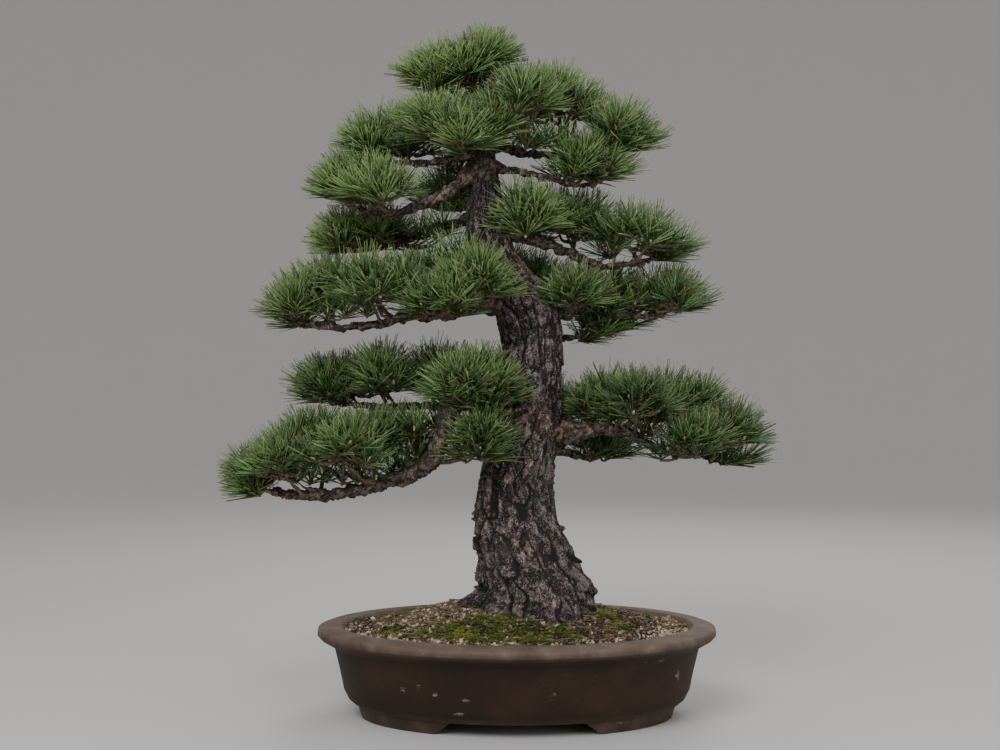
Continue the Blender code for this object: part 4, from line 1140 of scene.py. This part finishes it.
def sun_tint(point):
    """How light the needles are at a place: most at the crown, at the left and at the back."""
    crown = (point.z - PADS_FROM_Z) / PADS_HEIGHT
    tint = SUN_MIDDLE + SUN_AT_CROWN * crown - SUN_AT_LEFT * point.x + SUN_AT_BACK * max(0, point.y)
    return tint + SUN_CLOUDS * noise.noise(point / SUN_CLOUD_SIZE)


def pair_way(to_world, out, share):
    """Where a pair of needles points, a share of the way up its shoot, and its tilt away from it."""
    tilt = NEEDLE_SPREAD[0] + (NEEDLE_SPREAD[1] - NEEDLE_SPREAD[0]) * share
    tilt += draw.gauss(0, 1) * NEEDLE_SWAY
    way = (to_world @ (out * math.sin(tilt) + UP * math.cos(tilt))).normalized()
    if way.z < NEEDLE_LOWEST and (draw.random() < RAISED_SHARE or way.z < NEEDLE_NEVER_BELOW):
        level = Vector((way.x, way.y, 0)).normalized()
        way = (level + UP * draw.uniform(*NEEDLE_RAISED)).normalized()
    return way, tilt


def grow_needles(shoots, pattern, material):
    """Pairs of needles on each shoot of a spray."""
    places, axes, curls, tints = [], [], [], []
    for foot, way in shoots:
        to_world = UP.rotation_difference(way).to_matrix()
        phase = draw.uniform(0, 2 * math.pi)
        shade = sun_tint(foot) + swing(SHOOT_TINT)
        pairs = round(PAIRS_ON_SHOOT * draw.uniform(*PAIRS_SHARES))
        vigour = draw.uniform(*SHOOT_VIGOUR)
        for k in range(pairs):
            share = (k + 0.5) / pairs
            out = facing(phase + GOLDEN_ANGLE * k)
            radius = SHOOT_RADIUS[0] + (SHOOT_RADIUS[1] - SHOOT_RADIUS[0]) * share
            root = foot + to_world @ (UP * share * SHOOT_LENGTH + out * radius * 0.6)
            middle, tilt = pair_way(to_world, out, share)
            apart = middle.orthogonal().normalized()
            apart.rotate(Matrix.Rotation(draw.uniform(0, math.pi), 3, middle))
            length = NEEDLE_LENGTH * vigour * draw.uniform(*NEEDLE_LENGTHS)
            angle = draw.uniform(*PAIR_ANGLE)
            tint = shade + swing(PAIR_TINT) + TIP_TINT * share
            if draw.random() < OLD_NEEDLES * (3 if share < 0.3 else 0.5):
                tint = draw.uniform(*OLD_TINTS)
            lift = UP * length * NEEDLE_ARCH * math.sin(max(0, tilt))
            for side in (-1, 1):
                needle = (middle + apart * side * math.tan(angle)).normalized()
                across = needle.cross(apart).normalized()
                beside = needle.cross(across)
                places.append(root)
                axes.append((
                    across * NEEDLE_HALF_WIDTH, beside * NEEDLE_HALF_THICKNESS, needle * length * 0.97))
                curls.append(lift + apart * side * length * swing(NEEDLE_BEND))
                tints.append(tint + swing(NEEDLE_TINT))
    points, faces = copy_pattern(pattern, places, axes, curls)
    return object_from("needles", points, faces, [material], {
        "tint": np.repeat(np.clip(tints, 0, 1), len(pattern[0])),
        "reach": np.tile(pattern[0][:, 2], len(places)),
    })


def add_buds(shoots, pattern, material):
    """A large bud at the tip of each shoot, and a small one beside some."""
    places, axes = [], []
    for foot, way in shoots:
        sizes = [draw.uniform(*BUD_SIZES)]
        sizes += [draw.uniform(*SIDE_BUD_SIZES)] * (draw.random() < SIDE_BUDS)
        for size in sizes:
            lean = (way + stray(BUD_STRAY) * (1.2 - size)).normalized()
            turn = UP.rotation_difference(lean).to_matrix()
            radius, length = BUD_SIZE[0] * size, BUD_SIZE[1] * size
            places.append(foot + way * (SHOOT_LENGTH - BUD_SUNK))
            axes.append((turn.col[0] * radius, turn.col[1] * radius, turn.col[2] * length))
    points, faces = copy_pattern(pattern, places, axes)
    return object_from("buds", points, faces, [material])


def twig_routes(name, shoots):
    """The twigs of a spray: one from its branch or limb to each fork, and from there to its shoots."""
    limb, at, _, _ = SPRAYS[name]
    route, _ = branch_route(name)
    hub = route(1)
    for first in range(0, len(shoots), SHOOTS_ON_TWIG):
        group = shoots[first:first + SHOOTS_ON_TWIG]
        middle = sum((foot for foot, _ in group), Vector()) / len(group)
        fork = hub.lerp(middle, draw.uniform(*FORK_AT)) - UP * FORK_BELOW_MM * MM
        start, radius = route(draw.uniform(0.7, 1)), FORK_RADIUS
        if draw.random() < SPUR_SHARE:
            spur_at = max(0.1, min(1, at + draw.uniform(*SPUR_OFF)))
            start, radius = limb_at(limb, spur_at)[0], SPUR_RADIUS
        low = start.lerp(fork, 0.6) - UP * 0.25 * (fork - start).length
        points = [kinked(bend_through(start, low, fork, j / 5)) for j in range(6)]
        radii = [radius + (FORK_RADIUS - radius) * j / 5 for j in range(6)]
        yield points, [knotted(thick, point * 3) for thick, point in zip(radii, points)]
        for foot, way in group:
            control = fork.lerp(foot, 0.6) - way * 0.3 * (foot - fork).length
            twig = [points[-1]] + [kinked(bend_through(fork, control, foot, j / 3)) for j in (1, 2)]
            radii = [knotted(TWIG_RADIUS, point * 3) for point in twig]
            yield twig + [foot, foot + way * SHOOT_LENGTH], radii + list(SHOOT_RADIUS)


def make_spray(name, patterns, materials):
    """A spray: its twigs, and the needles and buds of each shoot."""
    hub = spray_hub(name)
    shoots = sorted(shoots_of(name), key=lambda shoot: math.atan2(shoot[0].y - hub.y, shoot[0].x - hub.x))
    twigs = rods("twigs", twig_routes(name, shoots), 0)
    twigs.data.materials.append(materials["twig"])
    count = len(twigs.data.vertices)
    set_attribute(twigs.data, "relief", [0.9] * count)
    set_attribute(twigs.data, "flake", [draw.random() for _ in range(count)])
    needles = grow_needles(shoots, patterns["needle"], materials["needles"])
    buds = add_buds(shoots, patterns["bud"], materials["bud"])
    bpy.ops.object.select_all(action="DESELECT")
    for part in (twigs, needles, buds):
        part.select_set(True)
    bpy.context.view_layer.objects.active = needles
    bpy.ops.object.join()
    return finish_piece(needles, f"spray_{name}", None, "needles", f"needles_{name}")


def soil_surface():
    """A tree to look up the height of the soil's solid in."""
    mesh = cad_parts["soil"].data
    return BVHTree.FromPolygons([v.co[:] for v in mesh.vertices], [p.vertices[:] for p in mesh.polygons])


def model_grain():
    """A broken, angular grain about 1 in radius."""
    bpy.ops.object.select_all(action="DESELECT")
    bpy.ops.mesh.primitive_uv_sphere_add(segments=4, ring_count=3, radius=1.1)
    grain = bpy.context.object
    edit(grain)
    bpy.ops.transform.vertex_random(offset=0.45, uniform=1, normal=0, seed=draw.randrange(1000))
    bpy.ops.transform.resize(value=(1, 0.85, 0.75))
    done()
    return take_pattern(grain)


def random_turn():
    """The rows of a random turn's matrix."""
    turn = Matrix.Rotation(draw.uniform(0, 2 * math.pi), 3, "Z")
    turn = turn @ Matrix.Rotation(draw.uniform(0, math.pi), 3, "X")
    return turn @ Matrix.Rotation(draw.uniform(0, 2 * math.pi), 3, "Z")


def moss_share(x, y):
    """How well moss grows at a place: over about 0.5 it covers the soil."""
    total = 0
    for patch_x, patch_y, radius in MOSS:
        apart = math.hypot(x / MM - patch_x, y / MM - patch_y) / radius
        total = max(total, 1.25 - apart)
    place = Vector((x, y, 0))
    return total + 0.5 * noise.noise(place / (16 * MM)) + 0.45 * noise.noise(place / (6 * MM))


def scatter(surface, spacing):
    """Places about this far apart over the whole of the soil's top."""
    row_spacing = spacing * ROW_SHARE
    for row in range(round(2 * RIM_HALF_DEPTH / row_spacing)):
        for column in range(round(2 * RIM_HALF_LENGTH / spacing)):
            x = POT_X - RIM_HALF_LENGTH + (column + 0.5 * (row % 2) + swing(PLACE_STRAY)) * spacing
            y = -RIM_HALF_DEPTH + (row + swing(PLACE_STRAY)) * spacing * ROW_SHARE
            hit, normal, _, _ = surface.ray_cast(Vector((x, y, ABOVE_SOIL_MM * MM)), -UP)
            if hit and hit.z > SOIL_TOP_LEAST and normal.z > SOIL_STEEPEST:
                yield hit


def grit_tint(x, y):
    """Colour share of a grain: reddish at the right rear, purplish at the left end, pale at the front."""
    edge = math.hypot((x - POT_X) / RIM_HALF_LENGTH, y / RIM_HALF_DEPTH)
    if draw.random() < PUMICE_SHARE + (PUMICE_AT_FRONT * smoothstep(0.68, 0.8, edge) if y < 0 else 0):
        return draw.uniform(0.85, 1)
    tint = GRIT_TINT
    for change, *ranges in GRIT_ZONES:
        for (start, full), at in zip(ranges, (x, y)):
            change *= smoothstep(start * MM, full * MM, at)
        tint += change
    return min(1, max(0.05, tint + draw.gauss(0, 0.2)))


def make_grit(surface, needle, material):
    """The loose grains, with bits of straw and bark among them."""
    groups = [(model_grain(), [], [], []) for _ in range(GRAIN_KINDS)]
    for spot in scatter(surface, GRIT_SPACING):
        if moss_share(spot.x, spot.y) > MOSS_HIDES and draw.random() < 0.75:
            continue
        size = draw.uniform(*GRIT_SIZE) * draw.choice((0.7, 0.85, 1, 1, 1.15))
        _, places, axes, tints = draw.choice(groups)
        places.append(spot + UP * size * draw.uniform(0.0, 0.5))
        axes.append(np.array(random_turn()) * size)
        tints.append(grit_tint(spot.x, spot.y))
    for bed_x, bed_y, reach, count, shade in STONE_BEDS:
        for _ in range(count):
            x, y = [bed + draw.gauss(0, reach / 2) for bed in (bed_x, bed_y)]
            spot = surface.ray_cast(Vector((x, y, ABOVE_SOIL_MM)) * MM, -UP)[0]
            if not spot:
                continue
            size = draw.uniform(*STONE_SIZE)
            _, places, axes, tints = draw.choice(groups)
            places.append(spot + UP * size * 0.4)
            axes.append(np.array(random_turn()) * size)
            tints.append(min(1, max(0, shade + draw.gauss(0, 0.04))))
    places, axes, tints = [], [], []
    for spot in scatter(surface, STRAW_SPACING):
        bearing = draw.uniform(0, 2 * math.pi)
        lie = facing(bearing, swing(STRAW_RISE)).normalized()
        beside = UP.cross(lie).normalized()
        length = draw.uniform(*STRAW_SIZE)
        places.append(spot + UP * STRAW_LIFT_MM * MM - lie * length / 2)
        axes.append((
            beside * STRAW_HALF_WIDTH_MM * MM,
            lie.cross(beside) * STRAW_HALF_THICKNESS_MM * MM,
            lie * length,
        ))
        tints.append(draw.uniform(0.05, 0.85))
    groups.append((needle, places, axes, tints))
    piece = finish_piece(heap("grit", groups, material), "soil_grit", None, "soil")
    piece.data.polygons.foreach_set("use_smooth", [False] * len(piece.data.polygons))
    return piece


def make_moss(surface, material):
    """Cushions of moss, each a low mound beset with short shoots."""
    bpy.ops.object.select_all(action="DESELECT")
    bpy.ops.mesh.primitive_ico_sphere_add(subdivisions=1, radius=1)
    mound = bpy.context.object
    edit(mound)
    bpy.ops.transform.vertex_random(offset=0.16, uniform=1, normal=0, seed=5)
    done()
    mound = take_pattern(mound)
    bpy.ops.mesh.primitive_cone_add(vertices=3, radius1=1, radius2=0, depth=1, location=(0, 0, 0.5))
    shoot = bpy.context.object
    bpy.ops.object.transform_apply(location=True)
    shoot = take_pattern(shoot)
    mounds, mound_axes, mound_tints = [], [], []
    places, axes, tints = [], [], []
    for spot in scatter(surface, MOSS_SPACING):
        if moss_share(spot.x, spot.y) < MOSS_COVERS + swing(0.3):
            continue
        radius = draw.uniform(*MOSS_RADII_MM) * MM
        rise = radius * draw.uniform(0.5, 0.9)
        turn = np.array(Matrix.Rotation(draw.uniform(0, 6.3), 3, "Z"))
        mounds.append(spot)
        mound_axes.append(turn * np.array([[radius], [radius], [rise]]))
        shade = 0.45 + 0.5 * noise.noise(spot / (20 * MM)) + swing(0.15)
        mound_tints.append(shade - 0.2)
        for _ in range(MOSS_SHOOTS):
            lean = Vector((draw.gauss(0, 0.45), draw.gauss(0, 0.45), 1)).normalized()
            root = spot + Vector((lean.x * radius, lean.y * radius, lean.z * rise)) * 0.97
            length = draw.uniform(*MOSS_SHOOT_LENGTHS_MM) * MM
            aside = lean.orthogonal().normalized() * MOSS_SHOOT_RADIUS_MM * MM
            places.append(root)
            axes.append((aside, lean.cross(aside), (lean + UP * 0.4).normalized() * length))
            tints.append(shade + draw.uniform(0, 0.35))
    groups = [(mound, mounds, mound_axes, mound_tints), (shoot, places, axes, tints)]
    return finish_piece(heap("moss", groups, material), "moss_cushions", None, "soil")


def strew_needles(surface, pattern, material):
    """Old needles that lie on the soil in pairs."""
    places, axes = [], []
    spots = list(scatter(surface, FALLEN_SPACING))
    for spot in draw.sample(spots, FALLEN_NEEDLES):
        bearing = draw.uniform(0, 2 * math.pi)
        for turn in (0, draw.uniform(0.05, 0.25)):
            needle = facing(bearing + turn, draw.uniform(-0.02, 0.1)).normalized()
            beside = UP.cross(needle).normalized()
            length = NEEDLE_LENGTH * draw.uniform(*FALLEN_LENGTHS)
            places.append(spot + UP * FALLEN_LIFT_MM * MM - needle * length / 2)
            axes.append((beside * NEEDLE_HALF_WIDTH, UP * NEEDLE_HALF_THICKNESS, needle * length))
    points, faces = copy_pattern(pattern, places, axes)
    fallen = object_from("fallen_needles", points, faces, [material], {
        "tint": np.repeat([draw.uniform(*FALLEN_TINTS) for _ in places], len(pattern[0])),
        "reach": np.tile(pattern[0][:, 2] * 0.8 + 0.1, len(places)),
    })
    return finish_piece(fallen, "fallen_needles", None, "needles")


def set_stage():
    """Pale floor, soft studio light and the camera."""
    bpy.ops.object.select_all(action="DESELECT")
    bpy.ops.mesh.primitive_circle_add(vertices=96, radius=STAGE_RADIUS, fill_type="NGON")
    floor = bpy.context.object
    floor.name = "studio_floor"
    edit(floor)
    angles = [math.pi / 2 / STAGE_STEPS * step for step in range(STAGE_STEPS + 1)]
    climbs = [STAGE_CURVE * (1 - math.cos(angle)) for angle in angles]
    reaches = [STAGE_RADIUS + STAGE_CURVE * math.sin(angle) for angle in angles]
    for k in range(1, STAGE_STEPS + 1):
        rise, grow = climbs[k] - climbs[k - 1], reaches[k] / reaches[k - 1]
        bpy.ops.mesh.extrude_region_move(TRANSFORM_OT_translate={"value": (0, 0, rise)})
        bpy.ops.transform.resize(value=(grow, grow, 1), center_override=(0, 0, 0))
    bpy.ops.mesh.delete(type="ONLY_FACE")
    bpy.ops.mesh.select_all(action="SELECT")
    bpy.ops.mesh.normals_make_consistent(inside=False)
    bpy.ops.mesh.flip_normals()
    done()
    floor.data.polygons.foreach_set("use_smooth", [True] * len(floor.data.polygons))
    material, tree, shader = new_material("pale_paper_floor")
    set_inputs(tree, shader, {"Base Color": linear("#d9d7d3"), "Roughness": 0.9})
    floor.data.materials.append(material)
    floor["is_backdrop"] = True

    world = bpy.data.worlds.new("studio")
    world.use_nodes = True
    bpy.context.scene.world = world
    background = world.node_tree.nodes["Background"]
    set_inputs(world.node_tree, background, {"Color": linear("#e8e9ec"), "Strength": 0.5})

    for name, (place, size, power) in LAMPS.items():
        light = bpy.data.lights.new(name, "AREA")
        light.size = size
        light.energy = power
        lamp = bpy.data.objects.new(name, light)
        lamp.location = place
        lamp.rotation_euler = (LAMPS_AIM - Vector(place)).to_track_quat("-Z", "Y").to_euler()
        bpy.context.scene.collection.objects.link(lamp)

    camera = bpy.data.cameras.new("camera")
    camera.sensor_width = SENSOR_MM
    camera.lens = SENSOR_MM * FOCAL_PX / PHOTO_WIDTH_PX
    view = bpy.data.objects.new("camera", camera)
    view.location = CAMERA_AT
    view.rotation_euler = (math.pi / 2, 0, 0)
    bpy.context.scene.collection.objects.link(view)
    bpy.context.scene.camera = view


def dress_solid(name, material):
    """Gives a solid of the frame the look of its real material."""
    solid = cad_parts[name].data
    solid.materials.clear()
    solid.materials.append(material)


def main():
    noise.seed_set(NOISE_SEED)
    set_stage()
    materials = {
        "needles": make_needle_green(),
        "bud": make_bud_scales(),
        "twig": make_bark("young_twig_bark"),
    }
    patterns = {"needle": model_needle(), "bud": model_bud()}
    make_pot(make_stoneware())
    make_trunk(make_bark("plated_pine_bark"))
    make_limbs(make_bark("scaly_limb_bark"))
    for name in SPRAYS:
        make_spray(name, patterns, materials)
    surface = soil_surface()
    dress_solid("soil", make_soil_dust())
    make_grit(surface, patterns["needle"], make_fired_clay())
    make_moss(surface, make_moss_green())
    strew_needles(surface, patterns["needle"], materials["needles"])
    mesh_plastic = make_mesh_plastic()
    for name in ("drain_screen_left", "drain_screen_right"):
        dress_solid(name, mesh_plastic)


main()
boxes = {"cad": cad_box, "visual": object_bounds()}
{name: [list(corner) for corner in box] for name, box in boxes.items()}
